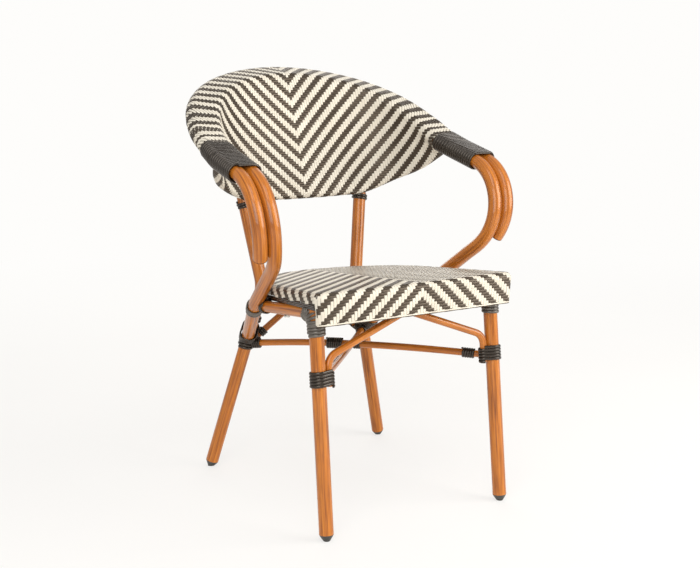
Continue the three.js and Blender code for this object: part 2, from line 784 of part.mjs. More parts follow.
function seatOutline(cornerRadius) {
  const cornerY = -seatFrontAhead + cornerRadius;
  const cornerX = seatHalfWidthAt(cornerY) - cornerRadius;
  const half = [];
  for (let i = 0; i <= frontBowSteps; i += 1) {
    const share = i / frontBowSteps;
    const y = -seatFrontAhead - seatFrontBow * (1 - share * share);
    half.push({ x: cornerX * share, y, drop: seatFrontSkirt });
  }
  cornerShares.forEach((share, i) => {
    const angle = (share * Math.PI) / 2;
    half.push({
      x: cornerX + cornerRadius * Math.sin(angle),
      y: cornerY - cornerRadius * Math.cos(angle),
      drop: i < skirtCorners ? seatFrontSkirt : seatSideSkirt,
    });
  });
  for (const share of sideShares) {
    const y = mix(cornerY, seatSideEndY, share);
    half.push({ x: seatHalfWidthAt(y), y, drop: seatSideSkirt });
  }
  for (let i = 1; i <= seatRearSteps; i += 1) {
    const angle = (i / seatRearSteps) * (Math.PI / 2);
    half.push({
      x: i === seatRearSteps ? 0 : seatHalfWidthAtRear * Math.cos(angle),
      y: mix(seatSideEndY, seatRearBehind, Math.sin(angle)),
      drop: mix(seatSideSkirt, seatRearSkirt, Math.sin(angle)),
    });
  }
  const otherHalf = half.slice(1, -1).reverse().map((p) => ({ ...p, x: -p.x }));
  return [...half, ...otherHalf];
}
const outline = seatOutline(seatCornerRadius);
const firstSide = 1 + frontBowSteps + cornerShares.length;

// An outline point moved straight in by a distance, at a depth below the seat top.
function insetPoint(ring, index, inset, drop) {
  const count = ring.length;
  const here = ring[index];
  const before = ring[(index + count - 1) % count];
  const after = ring[(index + 1) % count];
  const arrive = new THREE.Vector2(here.x - before.x, here.y - before.y).normalize();
  const leave = new THREE.Vector2(after.x - here.x, after.y - here.y).normalize();
  const heading = arrive.clone().add(leave).normalize();
  const stretch = inset / heading.dot(leave);
  const x = here.x - heading.y * stretch;
  const y = here.y + heading.x * stretch;
  return point(x, y, seatTopAt(y) - drop);
}
const seatPoint = (index, inset, drop) => insetPoint(outline, index, inset, drop);

const seatCentre = (drop) => point(0, seatSideEndY, seatTopAt(seatSideEndY) - drop);
function seatRow(index, depth) {
  const skirt = outline[index].drop;
  const radius = seatEdgeRadius - depth;
  const halfway = radius * (1 - Math.SQRT1_2);
  const tuck = skirt === seatFrontSkirt ? seatFrontTuck : 0;
  return [
    seatCentre(depth),
    seatPoint(index, depth + radius, depth),
    seatPoint(index, depth + halfway, depth + halfway),
    seatPoint(index, depth, depth + radius),
    seatPoint(index, depth + tuck, skirt),
  ];
}
const seatOutside = outline.map((_, i) => seatRow(i, 0));
const seatInside = outline.map((_, i) => seatRow(i, weaveThickness));
addPiece('seat_weave', sheet(seatOutside, seatInside, true), wovenStrand);

// Binding under the edge of the weave, along the sides and round the rear
const bindingFrom = firstSide + bindingSideIndex;
const bindingRoute = outline.map((_, i) => i).slice(bindingFrom, outline.length - bindingFrom + 1);
const bindingEdge = (inset) => bindingRoute.map((i) => [
  seatPoint(i, inset, outline[i].drop + tubeGap),
  seatPoint(i, inset, outline[i].drop + tubeGap + bindingHeight),
]);
addPiece('seat_binding', sheet(bindingEdge(0), bindingEdge(bindingThickness)), darkStrand);

// Seat pan: a ring of two tubes inside the weave, stiffened by two bars
const panOutline = seatOutline(panCornerRadius + panDrop);
const panRing = panOutline.map((_, i) => insetPoint(panOutline, i, panDrop, panDrop));
const rightFront = panRing.slice(0, firstSide + 1);
const leftFront = rightFront.slice(1).map(flipX).reverse();
const panFrontRoute = [...leftFront, ...rightFront];
const panBowRoute = panRing.slice(firstSide, panRing.length - firstSide + 1);
const bowLast = panBowRoute.length - 1;
panBowRoute[0] = along(panBowRoute[0], unit(panBowRoute[0], panBowRoute[1]), tubeGap);
panBowRoute[bowLast] = flipX(panBowRoute[0]);
const panBowRoom = roundBar(panBowRoute, panTubeDiameter + 2 * tubeGap, hiddenSides);

const railHeightAt = (y) => {
  const [front, rear] = sideRailRoute;
  return mix(front.z, rear.z, (y - front.y) / (rear.y - front.y));
};
const railSpreadAt = (y) => {
  const [front, rear] = sideRailRoute;
  return mix(front.x, rear.x, (y - front.y) / (rear.y - front.y));
};
const frontBarHeight = railHeightAt(-seatBarAhead) + (railDiameter + braceDiameter) / 2 + tubeGap;
const frontBarRear = -seatBarAhead + braceDiameter / 2;
const frontBarReach = seatHalfWidthAt(frontBarRear) - bindingThickness - tubeGap;
const frontBarEnd = point(frontBarReach, -seatBarAhead, frontBarHeight);
const rearBarEnd = point(seatHalfWidthAtRear, seatBarBehind, panHeightAt(seatBarBehind));

// Screws: two through the side rails into the front bar, two through the rear rail into the ring
function screw(head, entry) {
  const shank = screwShankDiameter / 2;
  const length = entry + screwBite;
  const profile = [
    [0, -screwHeadHeight],
    [screwHeadDiameter / 2, -screwHeadHeight],
    [screwHeadDiameter / 2, 0],
    [shank, 0],
    [shank, length],
    [0, length],
  ];
  return turned(profile, screwSides, head, up);
}
const hole = (x, y, fromZ, toZ) => (
  roundBar([point(x, y, fromZ), point(x, y, toZ)], screwHoleDiameter, screwSides)
);
const screwX = railSpreadAt(-seatBarAhead);
const headDrop = railDiameter / 2 + tubeGap;
const sideHead = point(screwX, -seatBarAhead, railHeightAt(-seatBarAhead) - headDrop);
const sideEntry = frontBarHeight - braceDiameter / 2 - sideHead.z;
const rearHead = point(rearScrewSpread, rearRailEnd.y, rearRailHeight - headDrop);
const rearEntry = panUndersideAt(rearRailEnd.y) - rearHead.z;
const holeFor = (head, entry) => (
  hole(head.x, head.y, head.z - tubeGap, head.z + entry + screwBite + tubeGap)
);
const sideHole = holeFor(sideHead, sideEntry);
const rearHole = holeFor(rearHead, rearEntry);
const bothHoles = (geometry) => {
  const left = geometry.clone();
  left.scale(-1, 1, 1);
  return [geometry, turnOver(left)];
};
addPair('seat_side_screw', screw(sideHead, sideEntry), steel);
addPair('seat_rear_screw', screw(rearHead, rearEntry), steel);

addPiece('seat_pan_front', hiddenTube(panFrontRoute, panTubeDiameter, panTubeWall), shadePaint);
const panBow = cope(
  hiddenTube(panBowRoute, panTubeDiameter, panTubeWall),
  bothHoles(rearHole),
);
addPiece('seat_pan_bow', panBow, shadePaint);
const frontBar = cope(
  roundBar([flipX(frontBarEnd), frontBarEnd], braceDiameter, braceSides),
  [panBowRoom, ...bothHoles(sideHole)],
);
addPiece('seat_bar_front', frontBar, shadePaint);
const rearBar = cope(
  roundBar([flipX(rearBarEnd), rearBarEnd], braceDiameter, braceSides, braceWall),
  [panBowRoom],
);
addPiece('seat_bar_rear', rearBar, shadePaint);

const sideRail = cope(
  roundBar(sideRailRoute, railDiameter, tubeSides, railWall),
  [frontLegRoom, innerArmRoom, frontRailRoom, sideHole],
);
addPair('side_rail', sideRail, bambooPaint);
const rearRail = cope(
  roundBar(rearRailRoute, railDiameter, tubeSides, railWall),
  [...rearLegRooms, ...bothHoles(rearHole)],
);
addPiece('rear_rail', rearRail, bambooPaint);

// Arched braces between the legs, each peak close under its rail
const archInset = legDiameter / 2 + braceDiameter / 2 + tubeGap;
const besideFrontLeg = (z) => onFrontLeg(z).sub(point(archInset, 0, 0));
const frontPeakHeight = frontRailHeight - railDiameter / 2 - tubeGap - braceDiameter / 2;
const frontPeak = point(archPeakFlat / 2, onFrontLeg(frontPeakHeight).y, frontPeakHeight);
const frontArchRoute = bentRoute([
  besideFrontLeg(frontArchFootHeight),
  besideFrontLeg(frontArchShoulderHeight),
  frontPeak,
  flipX(frontPeak),
  flipX(besideFrontLeg(frontArchShoulderHeight)),
  flipX(besideFrontLeg(frontArchFootHeight)),
], archBendRadius, kneeSteps);
addPiece('front_arch_brace', roundBar(frontArchRoute, braceDiameter, braceSides, braceWall), bambooPaint);

function jointWrapDiameter(step) {
  const half = jointCordThickness / 2;
  return 2 * ((legDiameter / 2 + cordGap + half) / Math.cos(step / 2) + half);
}
const lashingStart = onRearLeg(lashingHeight);
const lashingLength = lashingTurns * jointCordPitch + jointCordWidth;
const lashingEnd = along(lashingStart, rearLegAxis, lashingLength);
const lashingDiameter = jointWrapDiameter((2 * Math.PI) / singleLoopSteps);
const lashingRoom = room([lashingStart, lashingEnd], lashingDiameter, tubeSides);
const lashingRooms = bothHoles(lashingRoom);

const innerArm = cope(
  roundBar(innerArmRoute, legDiameter, tubeSides, legWall),
  [rearLegRoom, lashingRoom],
);
addPair('arm_inner_tube', innerArm, bambooPaint);

const rearPeakHeight = rearRailHeight - railDiameter / 2 - tubeGap - braceDiameter / 2;
const rearPeak = point(archPeakFlat / 2, onRearLeg(rearPeakHeight).y, rearPeakHeight);
const rearArchFoot = onRearLeg(rearArchFootHeight);
const rearArchRoute = bentRoute(
  [rearArchFoot, rearPeak, flipX(rearPeak), flipX(rearArchFoot)],
  archBendRadius,
  kneeSteps,
);
const rearArch = cope(
  roundBar(rearArchRoute, braceDiameter, braceSides, braceWall),
  [...lashingRooms, ...rearLegRooms],
);
addPiece('rear_arch_brace', rearArch, bambooPaint);

// Crossed stretchers, each from a rear leg to the opposite front leg, one passing over the other
const midStart = onFrontLeg(midWrapHeight);
const midLength = midTurns * jointCordPitch + jointCordWidth;
const midEnd = along(midStart, frontLegAxis, midLength);
const radiusDifference = (legDiameter - braceDiameter) / 2;
const midWrapDiameter = jointWrapDiameter(pairedStep(archInset, radiusDifference));
const midWrapRooms = midRoomShares.flatMap((share) => {
  const route = [midStart, midEnd].map((p) => along(p, acrossX, -archInset * share));
  const narrowing = (legDiameter - braceDiameter) * share;
  return bothHoles(room(route, midWrapDiameter - narrowing, tubeSides));
});
const crossEnds = [onRearLeg(crossRearHeight), onFrontLeg(crossFrontHeight)];
const crossShare = crossEnds[0].x / (crossEnds[0].x + crossEnds[1].x);
function stretcherRoute(lift) {
  const stations = [];
  for (let i = 0; i <= 2 * crossSteps; i += 1) {
    const beyond = Math.max(i - crossSteps, 0) / crossSteps;
    const share = mix(crossShare * Math.min(i, crossSteps) / crossSteps, 1, beyond);
    const station = between(flipX(crossEnds[0]), crossEnds[1], share);
    const arc = 1 - (1 - i / crossSteps) ** 2;
    station.z += lift * arc;
    stations.push(station);
  }
  return stations;
}
const overRoute = stretcherRoute(crossLift);
const underRoute = stretcherRoute(crossLift - braceDiameter - tubeGap).map(flipX);
const stretcher = (route) => cope(
  roundBar(route, braceDiameter, braceSides, braceWall),
  [...midWrapRooms, ...lashingRooms],
);
addPiece('cross_stretcher_over', stretcher(overRoute), bambooPaint);
addPiece('cross_stretcher_under', stretcher(underRoute), bambooPaint);

// Cords. Each is one unbroken winding.
const lastRim = outerRim.length - 1;
addPair('arm_wrap', winding('arm_wrap', {
  path: [innerRim[lastRim], innerRimSeam, armJoint, armBendStart],
  other: [outerRim[lastRim], rimSeam, outerArmJoint, along(armBendStart, acrossX, armTubeSpacing)],
  radius: legDiameter / 2,
  otherRadius: legDiameter / 2,
  lead: armWrapLead,
  turns: armTurns,
  width: armCordWidth,
  thickness: armCordThickness,
  pitch: armCordPitch,
}), darkCord);

const jointCord = { width: jointCordWidth, thickness: jointCordThickness, pitch: jointCordPitch };
const thinCord = { width: thinCordWidth, thickness: thinCordThickness, pitch: thinCordPitch };
const rightward = acrossX.clone();
addPair('leg_mid_wrap', winding('leg_mid_wrap', {
  ...jointCord,
  path: [midStart, midEnd],
  other: [midStart, midEnd].map((p) => along(p, acrossX, -archInset)),
  radius: legDiameter / 2,
  otherRadius: braceDiameter / 2,
  lead: 0,
  turns: midTurns,
}), darkCord);
addPair('leg_top_wrap', winding('leg_top_wrap', {
  ...jointCord,
  path: [onFrontLeg(topWrapHeight), frontLegTop],
  radius: legDiameter / 2,
  side: rightward,
  lead: 0,
  turns: topTurns,
}), greyCord);
addPair('rail_wrap', winding('rail_wrap', {
  ...jointCord,
  path: sideRailRoute,
  radius: railDiameter / 2,
  side: rightward,
  lead: railWrapLead,
  turns: railTurns,
}), greyCord);
addPair('arm_foot_wrap', winding('arm_foot_wrap', {
  ...jointCord,
  path: [armKnee, armFoot],
  radius: legDiameter / 2,
  side: rightward,
  lead: armFootWrapLead,
  turns: armFootTurns,
}), greyCord);
addPair('post_wrap', winding('post_wrap', {
  ...jointCord,
  path: [postTop, rearBend],
  radius: legDiameter / 2,
  side: rightward,
  lead: postWrapLead,
  turns: postTurns,
}), darkCord);
addPair('rear_lashing', winding('rear_lashing', {
  ...jointCord,
  path: [lashingStart, lashingEnd],
  radius: legDiameter / 2,
  side: rightward,
  lead: 0,
  turns: lashingTurns,
}), darkCord);
const crossing = overRoute[crossSteps];
addPiece('crossing_wrap_rear', winding('crossing_wrap_rear', {
  ...thinCord,
  path: [crossing, ...overRoute.slice(0, crossSteps).reverse()],
  radius: braceDiameter / 2,
  side: up,
  lead: crossWrapLead,
  turns: crossTurns,
}), darkCord);
addPiece('crossing_wrap_front', winding('crossing_wrap_front', {
  ...thinCord,
  path: overRoute.slice(crossSteps),
  radius: braceDiameter / 2,
  side: up,
  lead: crossWrapLead,
  turns: crossTurns,
}), darkCord);
addPair('strut_sleeve', winding('strut_sleeve', {
  ...thinCord,
  path: [rearArchFoot, rearPeak],
  radius: braceDiameter / 2,
  side: point(0, 1, 0),
  lead: strutSleeveLead,
  turns: strutSleeveTurns,
}), darkCord);
addPiece('stretcher_sleeve', winding('stretcher_sleeve', {
  ...thinCord,
  path: overRoute.slice(crossSteps).reverse(),
  radius: braceDiameter / 2,
  side: up,
  lead: stretcherSleeveLead,
  turns: stretcherSleeveTurns,
}), darkCord);

// Centre the chair front to back over its own middle.
const extent = new THREE.Box3().setFromObject(chair);
const middle = extent.getCenter(point(0, 0, 0));
for (const mesh of chair.children) {
  mesh.geometry.translate(0, -middle.y, 0);
}

export default chair;
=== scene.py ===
"""A rattan bistro armchair: bamboo-like tubes, a woven seat and back, and wrapped joints.

Routes are worked out in millimetres, with Y = 0 midway between the front and rear feet, and each
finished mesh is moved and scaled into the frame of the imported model.
"""

import math

import bmesh
import bpy
import numpy as np
from mathutils import Matrix, Vector


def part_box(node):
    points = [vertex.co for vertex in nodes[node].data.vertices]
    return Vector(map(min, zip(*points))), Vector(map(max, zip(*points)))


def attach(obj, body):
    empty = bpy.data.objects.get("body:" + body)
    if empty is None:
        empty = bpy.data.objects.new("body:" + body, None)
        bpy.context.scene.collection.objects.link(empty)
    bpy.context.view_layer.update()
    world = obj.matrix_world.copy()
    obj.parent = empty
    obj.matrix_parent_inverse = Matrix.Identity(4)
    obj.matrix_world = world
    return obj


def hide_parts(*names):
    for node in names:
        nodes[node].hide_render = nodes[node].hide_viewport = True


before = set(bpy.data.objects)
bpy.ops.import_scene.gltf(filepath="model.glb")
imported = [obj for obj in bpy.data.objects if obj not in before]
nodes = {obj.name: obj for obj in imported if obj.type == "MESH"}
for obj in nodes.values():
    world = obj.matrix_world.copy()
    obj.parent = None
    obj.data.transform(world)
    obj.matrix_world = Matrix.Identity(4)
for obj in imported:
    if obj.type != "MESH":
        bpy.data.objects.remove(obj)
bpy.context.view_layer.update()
scene = bpy.context.scene

MM = 0.001

# Tubes
LEG_RADIUS = 13.5
RAIL_RADIUS = 11
BRACE_RADIUS = 7
PAN_RADIUS = 9.5
EDGE_RAIL_RADIUS = 6
TUBE_GAP = 0.4
GLIDE_HEIGHT = 12
LEG_TOP_GAP = 2.2
REAR_BEND_Y = 173.0
LEG_BEND_RADIUS = 80
FRONT_RAIL_HEIGHT = 411
ARCH_BEND_RADIUS = 26
ARCH_FLAT_HALF = 12
STRETCHER_LIFT = 10
STRETCHER_STEPS = 12
TUBE_SIDES = 40
BRACE_SIDES = 28
RIM_SIDES = 24
EDGE_RAIL_SIDES = 16
BEND_STEPS = 14
ARCH_BEND_STEPS = 10

# Arms
ARM_SPACING = 28.5
ARM_SLOPE = math.radians(13.6)
ARM_STRAIGHT = 70
ARM_BEND_RADIUS = 96
ARM_DRIFT = 24
INNER_ARM_SWEEP = 130.6
OUTER_ARM_SWEEP = 111.5
ARM_KNEE_RADIUS = 60
INNER_ARM_STEPS = 36
OUTER_ARM_STEPS = 32
EASING_LENGTH = 26
EASING_STEPS = 6
SEAM_LENGTH = 12

# Seat
SEAT_TOP = 435.3
SEAT_FALL = 0.0875
SEAT_FRONT = -256.0
SEAT_BOW = 4.5
SEAT_CORNER_RADIUS = 17.0
SEAT_SIDE_END = -20.0
SEAT_REAR = 187.0
SEAT_HALF_FRONT = 215.0
SEAT_HALF_REAR = 193.5
EDGE_ROLL = 12.0
SIDE_SKIRT = 21.0
REAR_SKIRT = 15.0
APRON_DROP = 58.0
APRON_TUCK = 3.0
APRON_CORNER_TURN = math.radians(72)
PAN_DROP = 12.95
SETTLE_LENGTH = 140
OUTLINE_STEPS = 60
CORNER_STEPS = 18
REAR_STEPS = 120

# Back
EDGE_WRAP = 6.5
INNER_RIM_WRAP = 14.4
OUTER_RIM_WRAP = 14.0
OUTER_RIM_WRAP_END = -math.pi * 0.45
WEAVE_END_SHARE = 0.048
ROW_LEVEL = 667.3
RIM_HALF_WIDTH = 277.5
RIM_SPACING_AT_CROWN = 42.0
RIM_DROP_AT_CROWN = 12
CROWN = (0, 321.2, 830.2)
EDGE_MIDDLE = (0, 191, 580)
EDGE_END = (254, 63, 663.5)
CURVE_SAMPLES = 400
BACK_STATIONS = 241
HEADING_SHARE = 0.002

# Strands
CLOTH_THICKNESS = 2.6
STRAND_LIFT = 0.58
STRAND_THICKNESS = 1.15
BACK_CELL = (5.4, 5.6)
SEAT_CELL = (6.0, 5.6)
SEAT_ROW_START = -4.2
TWILL_REPEAT = 6
BACK_CHEVRON = -1
SEAT_CHEVRON = 1

middle_y = REAR_BEND_Y - 1000 * (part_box("rear_rail")[0].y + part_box("rear_rail")[1].y) / 2


def seat_top_at(y):
    return SEAT_TOP - SEAT_FALL * y


def mix(a, b, share):
    return a + (b - a) * share


def mirrored(p):
    return Vector((-p.x, p.y, p.z))


def both_sides(places, middle=()):
    """A route from the left through the middle, from its places on the right."""
    return [mirrored(p) for p in reversed(places)] + [*middle, *places]


def at_height(foot, top, z):
    return foot.lerp(top, (z - foot.z) / (top.z - foot.z))


def heading_of(start, end):
    return (end - start).normalized()


# Routes of the tubes


def bent_route(corners, radius, steps=BEND_STEPS):
    """Straight runs joined by round bends of one radius."""
    stations = [corners[0].copy()]
    for before, corner, after in zip(corners, corners[1:], corners[2:]):
        back, ahead = heading_of(corner, before), heading_of(corner, after)
        half = back.angle(ahead) / 2
        centre = corner + (back + ahead).normalized() * (radius / math.sin(half))
        start = corner + back * (radius / math.tan(half)) - centre
        end = corner + ahead * (radius / math.tan(half)) - centre
        axis = start.cross(end).normalized()
        sweep = start.angle(end)
        for k in range(steps + 1):
            stations.append(Matrix.Rotation(sweep * k / steps, 3, axis) @ start + centre)
    stations.append(corners[-1].copy())
    return stations


front_foot = Vector((195.5, -244, 0))
front_top = Vector((191.5, -203.7, seat_top_at(-203.7) - PAN_DROP - PAN_RADIUS - LEG_TOP_GAP))
rear_foot = Vector((212.5, 243, 0))
rear_bend = Vector((113, REAR_BEND_Y, 394))
post_top = Vector((140.5, 199.5, 582))
leg_axis = heading_of(front_foot, front_top)
rear_axis = heading_of(rear_foot, rear_bend)


def on_front_leg(z):
    return at_height(front_foot, front_top, z)


def on_rear_leg(z):
    return at_height(rear_foot, rear_bend, z)


front_leg_route = [front_foot + leg_axis * GLIDE_HEIGHT, front_top]
rear_leg_route = bent_route(
    [rear_foot + rear_axis * GLIDE_HEIGHT, rear_bend, post_top], LEG_BEND_RADIUS
)

arm_joint = Vector((249, -8, 672.6))
arm_forward = Vector((0, -math.cos(ARM_SLOPE), -math.sin(ARM_SLOPE)))
arm_down = Vector((0, math.sin(ARM_SLOPE), -math.cos(ARM_SLOPE)))
arm_bend_start = arm_joint + arm_forward * ARM_STRAIGHT
arm_bend_centre = arm_bend_start + arm_down * ARM_BEND_RADIUS


def arm_bend(sweep_degrees, steps):
    """The round turn at the front of an arm, which drifts inwards as it goes down."""
    stations = [arm_joint.copy()]
    for k in range(steps + 1):
        angle = math.radians(sweep_degrees) * k / steps
        drift = ARM_DRIFT * (sweep_degrees * k / steps / INNER_ARM_SWEEP) ** 3
        station = arm_bend_centre - arm_down * (ARM_BEND_RADIUS * math.cos(angle))
        station += arm_forward * (ARM_BEND_RADIUS * math.sin(angle))
        stations.append(station - Vector((drift, 0, 0)))
    return stations


beside = Vector((ARM_SPACING, 0, 0))
inner_bend = arm_bend(INNER_ARM_SWEEP, INNER_ARM_STEPS)
arm_knee = Vector((203.5, 17, 395))
arm_foot = on_rear_leg(290) + Vector((7, -12, 0))
arm_lower = bent_route([inner_bend[-1], arm_knee, arm_foot], ARM_KNEE_RADIUS)


def eased(start, leaving, end, arriving):
    """Stations between two others that leave and arrive along given headings."""
    reach = (end - start).length
    found = []
    for k in range(1, EASING_STEPS):
        t = k / EASING_STEPS
        found.append(
            start * (2 * t**3 - 3 * t**2 + 1) + leaving * (reach * (t**3 - 2 * t**2 + t))
            + end * (3 * t**2 - 2 * t**3) + arriving * (reach * (t**3 - t**2))
        )
    return found


lower_heading = heading_of(arm_lower[0], arm_lower[1])
easing_end = arm_lower[0] + lower_heading * EASING_LENGTH
inner_arm_route = (
    inner_bend[:-4]
    + eased(inner_bend[-5], heading_of(inner_bend[-6], inner_bend[-4]), easing_end, lower_heading)
    + [easing_end] + arm_lower[1:]
)
outer_arm_route = [p + beside for p in arm_bend(OUTER_ARM_SWEEP, OUTER_ARM_STEPS)]

front_rail_route = both_sides([on_front_leg(FRONT_RAIL_HEIGHT)])
rear_rail_height = seat_top_at(REAR_BEND_Y) - PAN_DROP - PAN_RADIUS - TUBE_GAP - RAIL_RADIUS
rear_rail_route = both_sides([on_rear_leg(rear_rail_height)])
side_rail_route = [on_front_leg(412.5), Vector((194, 14, 389.3))]

arch_inset = Vector((LEG_RADIUS + BRACE_RADIUS + TUBE_GAP, 0, 0))
front_peak_z = FRONT_RAIL_HEIGHT - RAIL_RADIUS - TUBE_GAP - BRACE_RADIUS
front_peak = Vector((ARCH_FLAT_HALF, on_front_leg(front_peak_z).y, front_peak_z))
rear_peak_z = rear_rail_height - RAIL_RADIUS - TUBE_GAP - BRACE_RADIUS
rear_peak = Vector((ARCH_FLAT_HALF, on_rear_leg(rear_peak_z).y, rear_peak_z))
rear_arch_foot = on_rear_leg(265)


def arch_route(half):
    """A brace that is bent on both sides of the middle, from its right half."""
    return bent_route(
        half + [mirrored(p) for p in reversed(half)], ARCH_BEND_RADIUS, ARCH_BEND_STEPS
    )


front_arch_route = arch_route(
    [on_front_leg(279) - arch_inset, on_front_leg(331) - arch_inset, front_peak]
)
rear_arch_route = arch_route([rear_arch_foot, rear_peak])

cross_rear, cross_front = on_rear_leg(272), on_front_leg(288)
cross_share = cross_rear.x / (cross_rear.x + cross_front.x)


def stretcher_route(lift):
    """From the left rear leg to the right front leg, arched over or under the other one."""
    stations = []
    for i in range(2 * STRETCHER_STEPS + 1):
        beyond = max(i - STRETCHER_STEPS, 0) / STRETCHER_STEPS
        share = mix(cross_share * min(i, STRETCHER_STEPS) / STRETCHER_STEPS, 1, beyond)
        station = mirrored(cross_rear).lerp(cross_front, share)
        station.z += lift * (1 - (1 - i / STRETCHER_STEPS) ** 2)
        stations.append(station)
    return stations


over_route = stretcher_route(STRETCHER_LIFT)
under_route = [
    mirrored(p) for p in stretcher_route(STRETCHER_LIFT - 2 * BRACE_RADIUS - TUBE_GAP)
]


# Curves of the back


def centripetal(places):
    """Points along a centripetal Catmull-Rom curve."""
    pts = np.array([list(p) for p in places], float)
    padded = np.vstack([2 * pts[0] - pts[1], pts, 2 * pts[-1] - pts[-2]])
    dense = []
    for t in np.linspace(0, len(pts) - 1, CURVE_SAMPLES + 1):
        i = min(int(t), len(pts) - 2)
        w = t - i
        p0, p1, p2, p3 = padded[i : i + 4]
        d0, d1, d2 = (np.linalg.norm(b - a) ** 0.5 for a, b in ((p0, p1), (p1, p2), (p2, p3)))
        t1 = ((p1 - p0) / d0 - (p2 - p0) / (d0 + d1) + (p2 - p1) / d1) * d1
        t2 = ((p2 - p1) / d1 - (p3 - p1) / (d1 + d2) + (p3 - p2) / d2) * d1
        dense.append(
            p1 + t1 * w + (3 * (p2 - p1) - 2 * t1 - t2) * w**2 + (2 * (p1 - p2) + t1 + t2) * w**3
        )
    return np.array(dense)


def interpolated(at, keys, rows):
    return np.stack([np.interp(at, keys, rows[:, c]) for c in range(3)], axis=1)


def evenly(dense, shares):
    """Points at shares of a polyline's length."""
    steps = np.linalg.norm(np.diff(dense, axis=0), axis=1)
    length = np.concatenate([[0], np.cumsum(steps)])
    return interpolated(shares * length[-1], length, dense)


def unit_rows(rows):
    return rows / np.linalg.norm(rows, axis=-1, keepdims=True)


def headings(points):
    return unit_rows(np.gradient(points, axis=0))


def outward_rows(heads):
    """Level and square to each heading, on the side away from the sitter."""
    return unit_rows(np.stack([-heads[:, 1], heads[:, 0], 0 * heads[:, 0]], axis=1))


def part_way(end, middle, shares):
    """Places between a curve's right end and its middle, by shares of width, depth and rise."""
    return [
        Vector((end[0] * w, mix(end[1], middle[1], d), mix(end[2], middle[2], r)))
        for w, d, r in shares
    ]


outer_joint = arm_joint + beside
rim_seam = outer_joint - arm_forward * SEAM_LENGTH
inner_rim_seam = arm_joint - arm_forward * SEAM_LENGTH
rim_places = part_way((RIM_HALF_WIDTH, rim_seam.y, rim_seam.z), CROWN, (
    (0.352, 0.952, 0.947), (0.658, 0.815, 0.802), (0.875, 0.607, 0.577), (0.979, 0.352, 0.297),
    (0.994, 0.067, 0.034),
))
rim_dense = centripetal(both_sides(rim_places + [rim_seam], [Vector(CROWN)]))
edge_places = part_way(EDGE_END, EDGE_MIDDLE, (
    (0.291, 0.984, 0.988), (0.559, 0.938, 0.934), (0.787, 0.734, 0.635), (0.933, 0.328, 0.323),
))
edge_dense = centripetal(both_sides(edge_places + [Vector(EDGE_END)], [Vector(EDGE_MIDDLE)]))
weave_tip = Vector((256.5, 49.5, 671.0))
edge_of_cloth = np.array([mirrored(weave_tip), *edge_dense, weave_tip])

back_shares = np.linspace(WEAVE_END_SHARE, 1 - WEAVE_END_SHARE, BACK_STATIONS)
outer_rim = evenly(rim_dense, back_shares)
rim_headings = unit_rows(
    evenly(rim_dense, back_shares + HEADING_SHARE) - evenly(rim_dense, back_shares - HEADING_SHARE)
)
swell = np.sin(np.pi * back_shares)
inner_rim = (
    outer_rim
    - outward_rows(rim_headings) * mix(ARM_SPACING, RIM_SPACING_AT_CROWN, swell)[:, None]
    - np.outer(RIM_DROP_AT_CROWN * swell, (0, 0, 1))
)
edge_line = evenly(edge_of_cloth, np.linspace(0, 1, BACK_STATIONS))


# Building


def rolling_frames(route, side=None):
    """Place, side and over at each station of a route, turning as little as they can."""
    points = [Vector(p) for p in route]
    heads = []
    for i, here in enumerate(points):
        before, after = points[max(i - 1, 0)], points[min(i + 1, len(points) - 1)]
        arrive = heading_of(before, here) if i else Vector((0, 0, 0))
        leave = heading_of(here, after) if i < len(points) - 1 else Vector((0, 0, 0))
        heads.append((arrive + leave).normalized())
    side = Vector(side) if side else heads[0].orthogonal()
    stations = []
    for here, head in zip(points, heads):
        side = (side - head * side.dot(head)).normalized()
        stations.append((here, side.copy(), head.cross(side)))
    return stations


def swept(stations, section, travelled=None):
    """A closed tube: a capped cylinder with a ring for each station, each ring set in its place.

    Its grain attribute holds the place in the section and the length travelled, in metres."""
    steps = len(stations) - 1
    count = len(section)
    bm = bmesh.new()
    grain = bm.verts.layers.float_vector.new("grain")
    bmesh.ops.create_cone(
        bm, cap_ends=True, segments=count, radius1=1, radius2=1, depth=float(steps)
    )
    if steps > 1:
        rungs = [e for e in bm.edges if abs(e.verts[0].co.z - e.verts[1].co.z) > steps / 2]
        bmesh.ops.subdivide_edges(bm, edges=rungs, cuts=steps - 1)
    if travelled is None:
        travelled = [0.0]
        for (a, _, _), (b, _, _) in zip(stations, stations[1:]):
            travelled.append(travelled[-1] + (b - a).length)
    turn = 2 * math.pi / count
    bm.verts.ensure_lookup_table()
    first = math.atan2(bm.verts[0].co.y, bm.verts[0].co.x)
    for v in bm.verts:
        k = round(v.co.z + steps / 2)
        across, rise = section[round((math.atan2(v.co.y, v.co.x) - first) / turn) % count]
        place, side, over = stations[k]
        v.co = place + side * across + over * rise
        v[grain] = (across * MM, rise * MM, travelled[k] * MM)
    return bm


def round_angles(sides):
    return [2 * math.pi * q / sides for q in range(sides)]


def oval_section(width, thickness, sides):
    """The section of a tube or cord: width along the tube that it wraps, thickness away from it."""
    return [
        (width / 2 * math.cos(a), thickness / 2 * math.sin(a)) for a in round_angles(sides)
    ]


def gather(parts):
    """One bmesh from several, each of which is freed."""
    whole = bmesh.new()
    whole.verts.layers.float_vector.new("grain")
    for bm in parts:
        mesh = bpy.data.meshes.new("part")
        bm.to_mesh(mesh)
        bm.free()
        whole.from_mesh(mesh)
        bpy.data.meshes.remove(mesh)
    return whole


